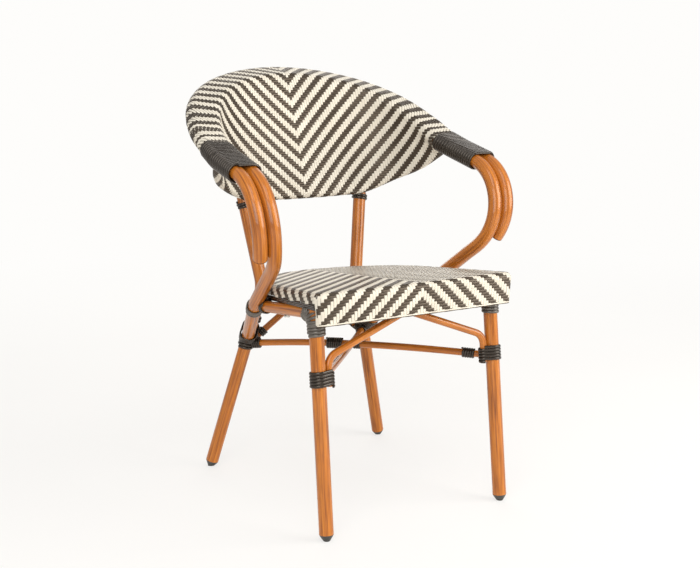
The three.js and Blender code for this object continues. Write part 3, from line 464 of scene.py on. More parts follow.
def finish_piece(name, bm, material, slot, stands_for, sharp=50):
    """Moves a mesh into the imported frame, in metres, and makes it a piece of the chair."""
    bmesh.ops.translate(bm, verts=bm.verts, vec=(0, -middle_y, 0))
    bmesh.ops.scale(bm, verts=bm.verts, vec=(MM, MM, MM))
    mesh = bpy.data.meshes.new(name)
    bm.to_mesh(mesh)
    bm.free()
    mesh.shade_smooth()
    if sharp:
        mesh.set_sharp_from_angle(angle=math.radians(sharp))
    mesh.materials.append(material)
    piece = bpy.data.objects.new(name, mesh)
    scene.collection.objects.link(piece)
    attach(piece, "root")
    if stands_for:
        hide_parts(*stands_for)


def other_hand(bm):
    """A mirror-image copy of a mesh, with its faces still outwards."""
    left = bm.copy()
    bmesh.ops.scale(left, verts=left.verts, vec=(-1, 1, 1))
    bmesh.ops.reverse_faces(left, faces=left.faces)
    return left


def finish_pair(name, bm, material, slot, stands_for, sharp=50):
    left = other_hand(bm)
    for hand, half in (("right", bm), ("left", left)):
        replaced = [f"{n}_{hand}" for n in stands_for]
        finish_piece(f"{name}_{hand}", half, material, slot, replaced, sharp)


def tube(route, radius, sides=TUBE_SIDES):
    return swept(rolling_frames(route), oval_section(2 * radius, 2 * radius, sides))


# Materials


def new_material(name):
    material = bpy.data.materials.new(name)
    material.use_nodes = True
    tree = material.node_tree
    return material, tree, tree.nodes["Principled BSDF"]


def set_inputs(tree, node, inputs):
    """Fills inputs of a shader node with plain values or with links from other nodes."""
    for name, value in inputs.items():
        if isinstance(value, bpy.types.NodeSocket):
            tree.links.new(value, node.inputs[name])
        else:
            node.inputs[name].default_value = value


def add_node(tree, kind, inputs, **settings):
    """The outputs of a new shader node."""
    node = tree.nodes.new("ShaderNode" + kind)
    for name, value in settings.items():
        setattr(node, name, value)
    set_inputs(tree, node, inputs)
    return node.outputs


def grain_vector(tree, stretch):
    """Place in the section and length travelled, in metres, each stretched by its own factor."""
    grain = add_node(tree, "Attribute", {}, attribute_name="grain")["Vector"]
    return add_node(tree, "Mapping", {"Vector": grain, "Scale": stretch})["Vector"]


def object_vector(tree):
    return add_node(tree, "TexCoord", {})["Object"]


def noise(tree, vector, scale, detail, roughness):
    return add_node(tree, "TexNoise", {
        "Vector": vector, "Scale": scale, "Detail": detail, "Roughness": roughness,
    })["Fac"]


def ramp(tree, fac, *stops):
    node = tree.nodes.new("ShaderNodeValToRGB")
    elements = node.color_ramp.elements
    while len(elements) < len(stops):
        elements.new(0.5)
    for element, (position, colour) in zip(elements, stops):
        element.position = position
        element.color = (*colour, 1)
    set_inputs(tree, node, {"Fac": fac})
    return node.outputs["Color"]


def multiplied(tree, fac, first, second):
    return add_node(
        tree, "Mix", {"Factor": fac, "A": first, "B": second},
        data_type="RGBA", blend_type="MULTIPLY",
    )["Result"]


def spread(tree, fac, low, high):
    """Spreads the middle of a 0 to 1 pattern between two values."""
    return add_node(tree, "MapRange", {
        "Value": fac, "From Min": 0.3, "From Max": 0.7, "To Min": low, "To Max": high,
    })["Result"]


def bump(tree, height, strength, distance):
    return add_node(
        tree, "Bump", {"Height": height, "Strength": strength, "Distance": distance}
    )["Normal"]


WHITE = (1, 1, 1)


def bamboo_lacquer(name, dark, body, light):
    """Orange-brown lacquer over faint lengthwise streaks."""
    material, tree, shader = new_material(name)
    streaks = noise(tree, grain_vector(tree, (300, 300, 8)), 1.0, 5.0, 0.6)
    clouds = noise(tree, grain_vector(tree, (45, 45, 14)), 1.0, 3.0, 0.5)
    streaked = ramp(tree, streaks, (0.33, dark), (0.49, body), (0.7, light))
    clouded = ramp(tree, clouds, (0.3, (0.78, 0.74, 0.7)), (0.6, WHITE))
    set_inputs(tree, shader, {
        "Base Color": multiplied(tree, 0.7, streaked, clouded),
        "Roughness": spread(tree, streaks, 0.27, 0.37),
        "Specular IOR Level": 0.3,
        "Coat Weight": 0.5,
        "Coat Roughness": 0.08,
        "Normal": bump(tree, streaks, 0.1, 0.0003),
    })
    return material


def strand_plastic(name, dark, body, light, roughness, specular, ribs, rib_depth, gloss_tint):
    """A plastic strand or cord with fine lengthwise ribs and an uneven sheen."""
    material, tree, shader = new_material(name)
    fine = noise(tree, grain_vector(tree, (ribs, ribs, 25)), 1.0, 3.0, 0.6)
    patches = noise(tree, object_vector(tree), 22.0, 2.0, 0.5)
    ribbed = ramp(tree, fine, (0.28, dark), (0.52, body), (0.75, light))
    toned = ramp(tree, patches, (0.3, (0.86, 0.85, 0.83)), (0.7, WHITE))
    set_inputs(tree, shader, {
        "Base Color": multiplied(tree, 0.6, ribbed, toned),
        "Roughness": spread(tree, fine, roughness - 0.05, roughness + 0.08),
        "Specular IOR Level": specular,
        "Specular Tint": (*gloss_tint, 1),
        "Normal": bump(tree, fine, rib_depth, 0.0003),
    })
    return material


def worn_surface(name, clouds, colours, roughness, pits, pit_depth, dull_pits=False, metallic=0.0):
    """Paint, moulded plastic or plating, clouded and pitted by the place on the chair."""
    material, tree, shader = new_material(name)
    clouding = noise(tree, object_vector(tree), clouds, 4.0, 0.6)
    pitting = noise(tree, object_vector(tree), pits, 3.0, 0.6)
    set_inputs(tree, shader, {
        "Base Color": ramp(tree, clouding, *colours),
        "Roughness": spread(tree, pitting if dull_pits else clouding, *roughness),
        "Metallic": metallic,
        "Normal": bump(tree, pitting, pit_depth, 0.0002),
    })
    return material


lacquer = bamboo_lacquer(
    "bamboo_lacquer", (0.20, 0.053, 0.007), (0.45, 0.138, 0.013), (0.59, 0.205, 0.024)
)
# A darker, duller copy of the lacquer: painted shade for the tubes that lie under the back's weave
painted_shade_lacquer = bamboo_lacquer(
    "painted_shade_lacquer", (0.14, 0.06, 0.025), (0.23, 0.10, 0.04), (0.30, 0.14, 0.06)
)
cream_strand = strand_plastic(
    "cream_strand", (0.64, 0.58, 0.475), (0.71, 0.665, 0.57), (0.745, 0.705, 0.62), 0.45, 0.25,
    2600, 0.25, WHITE,
)
dark_strand = strand_plastic(
    "dark_strand", (0.010, 0.006, 0.003), (0.019, 0.011, 0.006), (0.038, 0.025, 0.015), 0.40, 0.95,
    2600, 0.2, (1.0, 0.84, 0.67),
)
grey_cord = strand_plastic(
    "grey_cord", (0.045, 0.039, 0.033), (0.08, 0.071, 0.061), (0.13, 0.117, 0.10), 0.28, 0.9, 600,
    0.06, (1.0, 0.94, 0.87),
)
dark_cord = strand_plastic(
    "dark_cord", (0.011, 0.008, 0.006), (0.016, 0.012, 0.009), (0.024, 0.019, 0.015), 0.2, 0.6, 600,
    0.02, (1.0, 0.90, 0.80),
)
glide_plastic = worn_surface(
    "glide_plastic", 70.0, ((0.35, (0.035, 0.035, 0.032)), (0.75, (0.075, 0.072, 0.066))),
    (0.38, 0.53), 900.0, 0.2,
)
plug_plastic = worn_surface(
    "plug_plastic", 70.0, ((0.35, (0.012, 0.011, 0.010)), (0.75, (0.03, 0.028, 0.025))),
    (0.35, 0.5), 900.0, 0.2,
)
plating = worn_surface(
    "screw_plating", 300.0, ((0.3, (0.42, 0.41, 0.39)), (0.7, (0.66, 0.65, 0.62))),
    (0.28, 0.42), 900.0, 0.0, metallic=1.0,
)
brown_paint = worn_surface(
    "brown_paint", 38.0, ((0.32, (0.16, 0.065, 0.025)), (0.7, (0.27, 0.115, 0.042))),
    (0.38, 0.55), 700.0, 0.15, dull_pits=True,
)


# Frame tubes

SADDLE_STEPS = 60
SADDLE_STEP_LENGTH = 0.5


def saddle_end(bm, direction, reach, curve):
    """Slides the last ring of a tube back along its heading until it clears a round curve."""
    tip = max(v.co.dot(direction) for v in bm.verts)
    for v in bm.verts:
        if v.co.dot(direction) > tip - 0.01:
            for k in range(SADDLE_STEPS):
                place = v.co - direction * (k * SADDLE_STEP_LENGTH)
                near = np.min(np.linalg.norm(curve - np.array(place), axis=1))
                if near >= reach:
                    break
            v.co = place


def brace(route):
    return tube(route, BRACE_RADIUS, BRACE_SIDES)


rear_tube = tube(rear_leg_route, LEG_RADIUS)
saddle_end(
    rear_tube,
    heading_of(rear_leg_route[-2], rear_leg_route[-1]),
    EDGE_WRAP + CLOTH_THICKNESS + TUBE_GAP,
    evenly(edge_dense, np.linspace(0, 1, 2000)),
)
for finish, name, bm, stands_for in (
    (finish_pair, "front_leg_tube", tube(front_leg_route, LEG_RADIUS), "front_leg"),
    (finish_pair, "rear_leg_tube", rear_tube, "rear_leg"),
    (finish_pair, "arm_inner_bend", tube(inner_arm_route, LEG_RADIUS), "arm_inner_tube"),
    (finish_pair, "arm_outer_bend", tube(outer_arm_route, LEG_RADIUS), "arm_outer_tube"),
    (finish_piece, "front_rail_tube", tube(front_rail_route, RAIL_RADIUS), "front_rail"),
    (finish_piece, "rear_rail_tube", tube(rear_rail_route, RAIL_RADIUS), "rear_rail"),
    (finish_pair, "side_rail_tube", tube(side_rail_route, RAIL_RADIUS), "side_rail"),
    (finish_piece, "front_arch", brace(front_arch_route), "front_arch_brace"),
    (finish_piece, "rear_arch", brace(rear_arch_route), "rear_arch_brace"),
    (finish_piece, "upper_stretcher", brace(over_route), "cross_stretcher_over"),
    (finish_piece, "lower_stretcher", brace(under_route), "cross_stretcher_under"),
):
    finish(name, bm, lacquer, "bamboo_paint", [stands_for])


# Tubes under the weave of the back, in a darker lacquer that is painted shade


def with_seams(stations, seam, joint):
    """A rim's route with its straight ends, thinned to every third station."""
    ends = [mirrored(joint), mirrored(seam)]
    return ends + [Vector(p) for p in stations[::3]] + [seam, joint]


edge_rail_route = [Vector(p) for p in edge_dense[::4]]
for name, route, radius, sides, stands_for in (
    ("outer_rim_tube", with_seams(outer_rim, rim_seam, outer_joint), LEG_RADIUS, RIM_SIDES,
     "back_outer_rim"),
    ("inner_rim_tube", with_seams(inner_rim, inner_rim_seam, arm_joint), LEG_RADIUS, RIM_SIDES,
     "back_inner_rim"),
    ("edge_rail_tube", edge_rail_route, EDGE_RAIL_RADIUS, EDGE_RAIL_SIDES, "back_edge_rail"),
):
    finish_piece(
        name, tube(route, radius, sides), painted_shade_lacquer, "hidden_tube_paint", [stands_for]
    )


# Turned plastic parts


def turned(profile, start, direction):
    """A profile of (radius, height) pairs spun round an axis."""
    bm = bmesh.new()
    verts = [bm.verts.new((r, 0, h)) for r, h in profile]
    edges = [bm.edges.new(pair) for pair in zip(verts, verts[1:])]
    bmesh.ops.spin(
        bm, geom=verts + edges, cent=(0, 0, 0), axis=(0, 0, 1),
        angle=2 * math.pi, steps=TUBE_SIDES, use_merge=True,
    )
    bmesh.ops.remove_doubles(bm, verts=bm.verts, dist=0.001)
    bmesh.ops.recalc_face_normals(bm, faces=bm.faces)
    turn = Vector((0, 0, 1)).rotation_difference(direction).to_matrix()
    bmesh.ops.rotate(bm, verts=bm.verts, cent=(0, 0, 0), matrix=turn)
    bmesh.ops.translate(bm, verts=bm.verts, vec=start)
    return bm


def glide(foot, axis):
    """A domed glide in the end of a leg, worn flat by the floor."""
    bm = turned(
        [(0, -4), (6.2, -4), (6.2, 0), (7.3, 1.5), (8.9, 4), (10.6, 6.6), (12.1, 9), (13.0, 10.8),
         (13.5, 11.7), (13.5, 12), (10.6, 12.1), (10.6, 27), (0, 27)],
        foot, axis,
    )
    cut = bmesh.ops.bisect_plane(
        bm, geom=list(bm.verts) + list(bm.edges) + list(bm.faces), plane_co=(0, 0, 0),
        plane_no=(0, 0, -1), clear_outer=True, clear_inner=False, dist=0.0001,
    )
    rim = [e for e in cut["geom_cut"] if isinstance(e, bmesh.types.BMEdge)]
    bmesh.ops.edgeloop_fill(bm, edges=rim)
    bmesh.ops.recalc_face_normals(bm, faces=bm.faces)
    return bm


for name, foot, axis, stands_for in (
    ("front_leg_glide", front_foot, leg_axis, "front_glide"),
    ("rear_leg_glide", rear_foot, rear_axis, "rear_glide"),
):
    finish_pair(name, glide(foot, axis), glide_plastic, "black_plastic", [stands_for])
finish_pair(
    "arm_plug",
    turned(
        [(0, -12), (10.4, -12), (10.4, 0.2), (13.4, 0.4), (13.5, 0.7), (13.4, 1.3), (12.9, 1.8),
         (11.5, 2.0), (0, 2.0)],
        outer_arm_route[-1], heading_of(outer_arm_route[-2], outer_arm_route[-1]),
    ),
    plug_plastic, "black_plastic", ["arm_end_plug"], sharp=35,
)


# Cords wrapped round the joints

LOOP_STEPS = 22
HALF_LOOP_STEPS = 10
CORD_SIDES = 10
CORD_GAP = 0.25
JOINT = {"width": 5.7, "thickness": 3.4, "pitch": 5.8}
THIN = {"width": 4.8, "thickness": 3.0, "pitch": 4.9}
BULKY = {"width": 4.9, "thickness": 4.4, "pitch": 4.9}
ARM = {"width": 7.4, "thickness": 5.2, "pitch": 7.9}
CORNER = {"width": 5.5, "thickness": 3.4, "pitch": 4.6}
CORDS = {"dark_cord": dark_cord, "grey_cord": grey_cord}
RIGHTWARDS, REARWARDS, UPWARDS = (1, 0, 0), (0, 1, 0), (0, 0, 1)
MIDDLE_WRAP_LENGTH = 34.2
CORNER_BEND_RADIUS = 13
CORNER_BEND_STEPS = 12
CORNER_CORD_LIFT = 0.9
FORK_CORD_LIFT = 1.8


def walk(points, length):
    """The place and heading at a length along straight runs."""
    i = 0
    while i < len(points) - 2 and length > (points[i + 1] - points[i]).length:
        length -= (points[i + 1] - points[i]).length
        i += 1
    head = heading_of(points[i], points[i + 1])
    return points[i] + head * length, head


def single_loop(radius):
    return [(radius * math.cos(a), radius * math.sin(a), a) for a in round_angles(LOOP_STEPS)]


def paired_loop(spacing, radius, other_radius):
    """A loop round two tubes side by side, straight where it crosses between them."""
    touch = math.acos((radius - other_radius) / spacing)
    corners = []
    for middle, r, start, end in (
        (spacing, other_radius, -touch, touch), (0, radius, touch, 2 * math.pi - touch)
    ):
        for k in range(HALF_LOOP_STEPS + 1):
            angle = mix(start, end, k / HALF_LOOP_STEPS)
            corners.append((middle + r * math.cos(angle), r * math.sin(angle), angle))
    return corners


def winding(
    path, radius, width, thickness, pitch, turns, lead,
    other=None, other_radius=0, side=None, spreading=False,
):
    """One unbroken flattened cord wound along a tube, or round two tubes that run side by side.

    Spreading tubes part as they go, and the loops round them widen."""
    clear = CORD_GAP + thickness / 2
    middle_radius, other_middle = radius + clear, other_radius + clear
    if other:
        loop = paired_loop((other[0] - path[0]).length, middle_radius, other_middle)
    else:
        loop = single_loop(middle_radius)
    lengths = [0.0]
    for (a, b, _), (c, d, _) in zip(loop, loop[1:] + loop[:1]):
        lengths.append(lengths[-1] + math.hypot(c - a, d - b))
    count = len(loop)
    stations = []
    for k in range(turns * count + 1):
        across_by, rise_by, angle = loop[k % count]
        share = lengths[k % count] / lengths[-1] + k // count
        travelled = lead + width / 2 + pitch * share
        place, head = walk(path, travelled)
        if spreading:
            beside_it, other_head = walk(other, travelled)
            head = (head + other_head).normalized()
            spacing = (beside_it - place).length
            across_by, rise_by, angle = paired_loop(spacing, middle_radius, other_middle)[k % count]
        across = heading_of(place, walk(other, travelled)[0]) if other else Vector(side)
        rise = across.cross(head).normalized()
        across = head.cross(rise).normalized()
        centre = place + across * across_by + rise * rise_by
        outward = across * math.cos(angle) + rise * math.sin(angle)
        stations.append((centre, outward))
    centres = [c for c, _ in stations]
    framed = []
    for i, (centre, outward) in enumerate(stations):
        before, after = centres[max(i - 1, 0)], centres[min(i + 1, len(centres) - 1)]
        head = heading_of(before, after)
        sideways = outward.cross(head).normalized()
        framed.append((centre, sideways, head.cross(sideways).normalized()))
    return swept(framed, oval_section(width, thickness, CORD_SIDES))


def upright(route, radius, turns, lead):
    return winding(route, radius, turns=turns, lead=lead, side=RIGHTWARDS, **JOINT)


def on_brace(route, turns, lead, side, size):
    return winding(route, BRACE_RADIUS, turns=turns, lead=lead, side=side, **size)


arm_path = [Vector(inner_rim[-1]), inner_rim_seam, arm_joint, arm_bend_start]
arm_other = [Vector(outer_rim[-1]), rim_seam, outer_joint, arm_bend_start + beside]
middle_wrap = [on_front_leg(276.5), on_front_leg(276.5) + leg_axis * MIDDLE_WRAP_LENGTH]
to_rear = list(reversed(over_route[: STRETCHER_STEPS + 1]))
to_front = over_route[STRETCHER_STEPS:]
arch_end = [rear_arch_foot, rear_peak]
leg_top_corner = bent_route(
    [side_rail_route[0] + heading_of(*side_rail_route) * 31, side_rail_route[0], on_front_leg(380)],
    CORNER_BEND_RADIUS, CORNER_BEND_STEPS,
)
arm_end_heading = heading_of(arm_foot, arm_knee)
fork_heading = (arm_end_heading + rear_axis).normalized()
fork_foot = rear_foot + rear_axis * (
    (arm_foot - rear_foot).dot(fork_heading) / rear_axis.dot(fork_heading)
)
fork_leg, fork_arm = (
    [foot + along * reach for reach in (-12, 60)]
    for foot, along in ((fork_foot, rear_axis), (arm_foot, arm_end_heading))
)
fork_radius = LEG_RADIUS + FORK_CORD_LIFT

# The cords that stand for no node are only in the picture: they fill the corners of the joints
for finish, name, slot, stands_for, cord in (
    (finish_pair, "arm_binding", "dark_cord", ["arm_wrap"], winding(
        arm_path, LEG_RADIUS, turns=17, lead=-3.0, other=arm_other, other_radius=LEG_RADIUS, **ARM
    )),
    (finish_pair, "leg_middle_binding", "dark_cord", ["leg_mid_wrap"], winding(
        middle_wrap, LEG_RADIUS, turns=5, lead=0, other=[p - arch_inset for p in middle_wrap],
        other_radius=BRACE_RADIUS, **JOINT
    )),
    (finish_pair, "leg_top_binding", "grey_cord", ["leg_top_wrap"],
     upright([on_front_leg(370.5), front_top], LEG_RADIUS, 4, 0)),
    (finish_pair, "side_rail_binding", "grey_cord", ["rail_wrap"],
     upright(side_rail_route, RAIL_RADIUS, 2, 15)),
    (finish_pair, "arm_foot_binding", "grey_cord", ["arm_foot_wrap"],
     upright([arm_knee, arm_foot], LEG_RADIUS, 4, 12)),
    (finish_pair, "post_top_binding", "dark_cord", ["post_wrap"],
     upright([post_top, rear_bend], LEG_RADIUS, 2, 6.5)),
    (finish_pair, "rear_leg_lashing", "dark_cord", ["rear_lashing"],
     upright([on_rear_leg(262), rear_bend], LEG_RADIUS, 4, 0)),
    (finish_piece, "crossing_binding_rear", "dark_cord", ["crossing_wrap_rear"],
     on_brace(to_rear, 7, 6, UPWARDS, BULKY)),
    (finish_piece, "crossing_binding_front", "dark_cord", ["crossing_wrap_front"],
     on_brace(to_front, 3, 13, UPWARDS, THIN)),
    (finish_pair, "arch_foot_binding", "dark_cord", ["strut_sleeve"],
     on_brace(arch_end, 3, 38, REARWARDS, THIN)),
    (finish_piece, "stretcher_end_binding", "dark_cord", ["stretcher_sleeve"],
     on_brace(list(reversed(to_front)), 5, 34, UPWARDS, THIN)),
    (finish_pair, "leg_corner_cords", "grey_cord", [], winding(
        leg_top_corner, LEG_RADIUS + CORNER_CORD_LIFT, turns=8, lead=5, side=RIGHTWARDS, **CORNER
    )),
    (finish_pair, "fork_lashing", "dark_cord", [], winding(
        fork_leg, fork_radius, turns=4, lead=0, other=fork_arm, other_radius=fork_radius,
        spreading=True, **JOINT
    )),
    (finish_pair, "rear_leg_ring", "dark_cord", [],
     upright([on_rear_leg(319), rear_bend], LEG_RADIUS, 2, 0)),
    (finish_pair, "side_rail_end_ring", "dark_cord", [],
     upright(list(reversed(side_rail_route)), RAIL_RADIUS, 2, 15)),
    (finish_pair, "arch_foot_cords", "dark_cord", [], on_brace(arch_end, 4, 13, REARWARDS, THIN)),
    (finish_piece, "upper_stretcher_rear_cords", "dark_cord", [],
     on_brace(over_route, 4, 12, UPWARDS, BULKY)),
    (finish_piece, "lower_stretcher_rear_cords", "dark_cord", [],
     on_brace(under_route, 4, 12, UPWARDS, BULKY)),
):
    finish(name, cord, CORDS[slot], slot, stands_for)


# Weaving. A strand is a closed ribbon along the middle of the cloth that lifts over and dips under.

STRAND_SECTION = [(0.5, 0.1), (0.41, 0.5), (-0.41, 0.5), (-0.5, 0.1), (0, -0.5)]
SHORTEST_STRAND = 0.8
END_MARGIN = 0.4
GRAIN_SHIFT = 37.0


def strand(coords, points, normals, cell, over_at, width):
    """coords is the length along the strand in the cloth, which grows along the run."""
    low, high = coords[0], coords[-1]
    if high - low < cell * SHORTEST_STRAND:
        return None
    first = math.ceil(2 * low / cell + END_MARGIN)
    last = math.floor(2 * high / cell - END_MARGIN)
    halves = list(range(first, last + 1))
    marks = [low] + [h * cell / 2 for h in halves] + [high]
    lifts = []
    for h in halves:
        if h % 2 == 0:
            lifts.append(1.0 if over_at(h // 2) else -1.0)
        else:
            pair = (over_at((h - 1) // 2), over_at((h + 1) // 2))
            lifts.append(0.0 if pair[0] != pair[1] else (1.0 if pair[0] else -1.0))
    if not lifts:
        return None
    lifts = np.array([lifts[0]] + lifts + [lifts[-1]]) * STRAND_LIFT
    normal = unit_rows(interpolated(marks, coords, normals))
    centre = interpolated(marks, coords, points) + normal * lifts[:, None]
    heads = headings(centre)
    side = unit_rows(np.cross(normal, heads))
    over = np.cross(heads, side)
    stations = [(Vector(c), Vector(s), Vector(o)) for c, s, o in zip(centre, side, over)]
    section = [(a * width, b * STRAND_THICKNESS) for a, b in STRAND_SECTION]
    return swept(stations, section, travelled=[m + width * GRAIN_SHIFT for m in marks])


def runs(valid):
    """The unbroken stretches of a row of true and false, as index pairs."""
    edges = np.flatnonzero(np.diff(np.concatenate([[0], valid.astype(int), [0]])))
    return [(a, b) for a, b in zip(edges[::2], edges[1::2]) if b - a > 2]


def strands_along(coords, points, normals, valid, cell, over_at, width):
    """A strand for each unbroken stretch of places that lie on the cloth."""
    made = [
        strand(coords[a:b], points[a:b], normals[a:b], cell, over_at, width)
        for a, b in runs(np.array(valid))
    ]
    return [bm for bm in made if bm]


def column_over(i, j, chevron):
    """Whether column i lies over row j, in a twill that is mirrored about the middle column."""
    return (j + chevron * abs(i)) % TWILL_REPEAT < TWILL_REPEAT // 2


# Back cloth: under the edge rail, up the wall, and back over both rim tubes


def tangent_angle(rise_up, rise_out, radius, next_radius):
    return np.arctan2(rise_up, rise_out) + np.arccos(
        (radius - next_radius) / np.hypot(rise_up, rise_out)
    )


def back_cloth():
    """Grids of place, outward normal and the two cloth lengths, station by profile step."""
    half = CLOTH_THICKNESS / 2
    edge_r, inner_r, outer_r = EDGE_WRAP + half, INNER_RIM_WRAP + half, OUTER_RIM_WRAP + half
    frames = []
    for line in (edge_line, inner_rim, outer_rim):
        heads = headings(line)
        outward = outward_rows(heads)
        frames.append((line, outward, unit_rows(np.cross(heads, outward))))
    (edge, edge_out, edge_up), (inner, inner_out, inner_up), (outer, outer_out, outer_up) = frames
    rise = inner - edge
    wall = tangent_angle(rise[:, 2], np.sum(rise * edge_out, axis=1), edge_r, inner_r)
    rise = outer - inner
    top = tangent_angle(
        np.sum(rise * inner_up, axis=1), np.sum(rise * inner_out, axis=1), inner_r, outer_r
    )

    def arc(line, outward, over, radius, start, end, steps):
        angle = start[:, None] + (end - start)[:, None] * np.linspace(0, 1, steps + 1)
        normal = (
            np.cos(angle)[..., None] * outward[:, None] + np.sin(angle)[..., None] * over[:, None]
        )
        return line[:, None] + radius * normal, normal

    ones = np.ones(len(edge))
    under = arc(edge, edge_out, edge_up, edge_r, ones * 2 * math.pi, wall, 12)
    inside = arc(inner, inner_out, inner_up, inner_r, wall, top, 8)
    roll = arc(outer, outer_out, outer_up, outer_r, top, ones * OUTER_RIM_WRAP_END, 20)

    def ruled(before, after, steps):
        share = np.linspace(0, 1, steps + 1)[1:-1][None, :, None]
        place = mix(before[0][:, -1:], after[0][:, :1], share)
        return place, unit_rows(mix(before[1][:, -1:], after[1][:, :1], share))

    face = ruled(under, inside, 40)
    crest = ruled(inside, roll, 5)
    places = np.concatenate([under[0], face[0], inside[0], crest[0], roll[0]], axis=1)
    normals = np.concatenate([under[1], face[1], inside[1], crest[1], roll[1]], axis=1)
    steps = np.linalg.norm(np.diff(places, axis=1), axis=2)
    length = np.concatenate([np.zeros((len(edge), 1)), np.cumsum(steps, axis=1)], axis=1)
    low, high = under[0].shape[1] - 1, under[0].shape[1] + face[0].shape[1]

    centre = len(edge) // 2
    foot, head = places[:, low], places[:, high]
    slope = np.linalg.norm(head[centre] - foot[centre]) / (head[centre, 2] - foot[centre, 2])
    across, rise = np.zeros(length.shape), np.zeros(length.shape)
    for k in range(low, high + 1):
        rise[:, k] = (places[:, k, 2] - ROW_LEVEL) * slope
        for s in range(centre + 1, len(edge)):
            bottom, crest_line = foot[centre : s + 1], head[centre : s + 1]
            share = (places[s, k, 2] - bottom[:, 2]) / (crest_line[:, 2] - bottom[:, 2])
            level = mix(bottom, crest_line, share[:, None])
            across[s, k] = np.sum(np.linalg.norm(np.diff(level, axis=0), axis=1))
            across[2 * centre - s, k] = -across[s, k]

    for k_from, way, others in ((low, -1, range(low)), (high, 1, range(high + 1, length.shape[1]))):
        line = np.stack([across[:, k_from], rise[:, k_from]], axis=1)
        tangent = unit_rows(np.gradient(line, axis=0))
        for k in others:
            beyond = np.abs(length[:, k] - length[:, k_from]) * way
            across[:, k] = line[:, 0] - tangent[:, 1] * beyond
            rise[:, k] = line[:, 1] + tangent[:, 0] * beyond
    return places, normals, across, rise


def crossings(level, across, along, places, normals):
    """Where the line of one cloth length crosses each column of the grids."""
    stations = len(across)
    found, valid = [], []
    for k in range(across.shape[1]):
        s = np.interp(level, across[:, k], np.arange(stations))
        valid.append(across[0, k] <= level <= across[-1, k])
        a, b = int(s), min(int(s) + 1, stations - 1)
        found.append(np.concatenate([
            [mix(along[a, k], along[b, k], s - a)],
            mix(places[a, k], places[b, k], s - a), mix(normals[a, k], normals[b, k], s - a),
        ]))
    found = np.array(found)
    return found[:, 0], found[:, 1:4], found[:, 4:], valid


def back_strands():
    places, normals, across, rise = back_cloth()
    wide, tall = BACK_CELL
    columns, rows = [], []
    column_count = int(np.max(across) / wide)
    for i in range(-column_count, column_count + 1):
        columns += strands_along(
            *crossings(i * wide, across, rise, places, normals),
            tall, lambda j: column_over(i, j, BACK_CHEVRON), wide,
        )
    turned_grids = (
        rise.T, across.T, places.transpose(1, 0, 2), normals.transpose(1, 0, 2)
    )
    for j in range(math.ceil(np.min(rise) / tall), int(np.max(rise) / tall) + 1):
        rows += strands_along(
            *crossings(j * tall, *turned_grids),
            wide, lambda i: not column_over(i, j, BACK_CHEVRON), tall,
        )
    return columns, rows, places, normals


def finish_cloth(name, columns, rows, stands_for):
    for colour, strands, material, slot in (
        ("cream", columns, cream_strand, "woven_strand"),
        ("dark", rows, dark_strand, "dark_strand"),
    ):
        finish_piece(
            f"{name}_{colour}_strands", gather(strands), material, slot, [stands_for], sharp=0
        )


back_columns, back_rows, back_places, back_normals = back_strands()
finish_cloth("back", back_columns, back_rows, "back_weave")


# Seat cloth: flat on top, rolled over the edges, with an apron in front that turns both corners


def seat_half_width(y):
    return mix(SEAT_HALF_FRONT, SEAT_HALF_REAR, (y - SEAT_FRONT) / (SEAT_SIDE_END - SEAT_FRONT))


CORNER_Y = SEAT_FRONT + SEAT_CORNER_RADIUS
CORNER_X = seat_half_width(CORNER_Y) - SEAT_CORNER_RADIUS
FRONT_INSET = SEAT_FRONT + EDGE_ROLL
ROLL_RADIUS = EDGE_ROLL - CLOTH_THICKNESS / 2
ROLL_LENGTH = ROLL_RADIUS * math.pi / 2


def front_bow(x):
    return SEAT_BOW * max(0.0, 1 - (x / CORNER_X) ** 2)


def seat_outline(inset):
    """Right half of the outline, front middle to rear middle: place, way out and drop."""
    corner_radius = SEAT_CORNER_RADIUS - inset
    found = []
    for k in range(OUTLINE_STEPS):
        x = CORNER_X * k / OUTLINE_STEPS
        out = Vector((-SEAT_BOW * 2 * x / CORNER_X**2, -1)).normalized()
        found.append((Vector((x, SEAT_FRONT - front_bow(x))) - out * inset, out, APRON_DROP))
    for k in range(CORNER_STEPS + 1):
        angle = math.pi / 2 * k / CORNER_STEPS
        out = Vector((math.sin(angle), -math.cos(angle)))
        place = Vector((CORNER_X, CORNER_Y)) + out * corner_radius
        found.append((place, out, APRON_DROP if angle <= APRON_CORNER_TURN else SIDE_SKIRT))
    side_out = Vector(
        (SEAT_SIDE_END - CORNER_Y, seat_half_width(CORNER_Y) - SEAT_HALF_REAR)
    ).normalized()
    for k in range(1, OUTLINE_STEPS):
        y = mix(CORNER_Y, SEAT_SIDE_END, k / OUTLINE_STEPS)
        found.append((Vector((seat_half_width(y), y)) - side_out * inset, side_out, SIDE_SKIRT))
    reach = SEAT_REAR - SEAT_SIDE_END
    for k in range(REAR_STEPS + 1):
        angle = math.pi / 2 * k / REAR_STEPS
        place = Vector((SEAT_HALF_REAR * math.cos(angle), SEAT_SIDE_END + reach * math.sin(angle)))
        out = Vector((math.cos(angle) / SEAT_HALF_REAR, math.sin(angle) / reach)).normalized()
        drop = mix(SIDE_SKIRT, REAR_SKIRT, math.sin(angle))
        found.append((place - out * inset, out, drop))
    return found


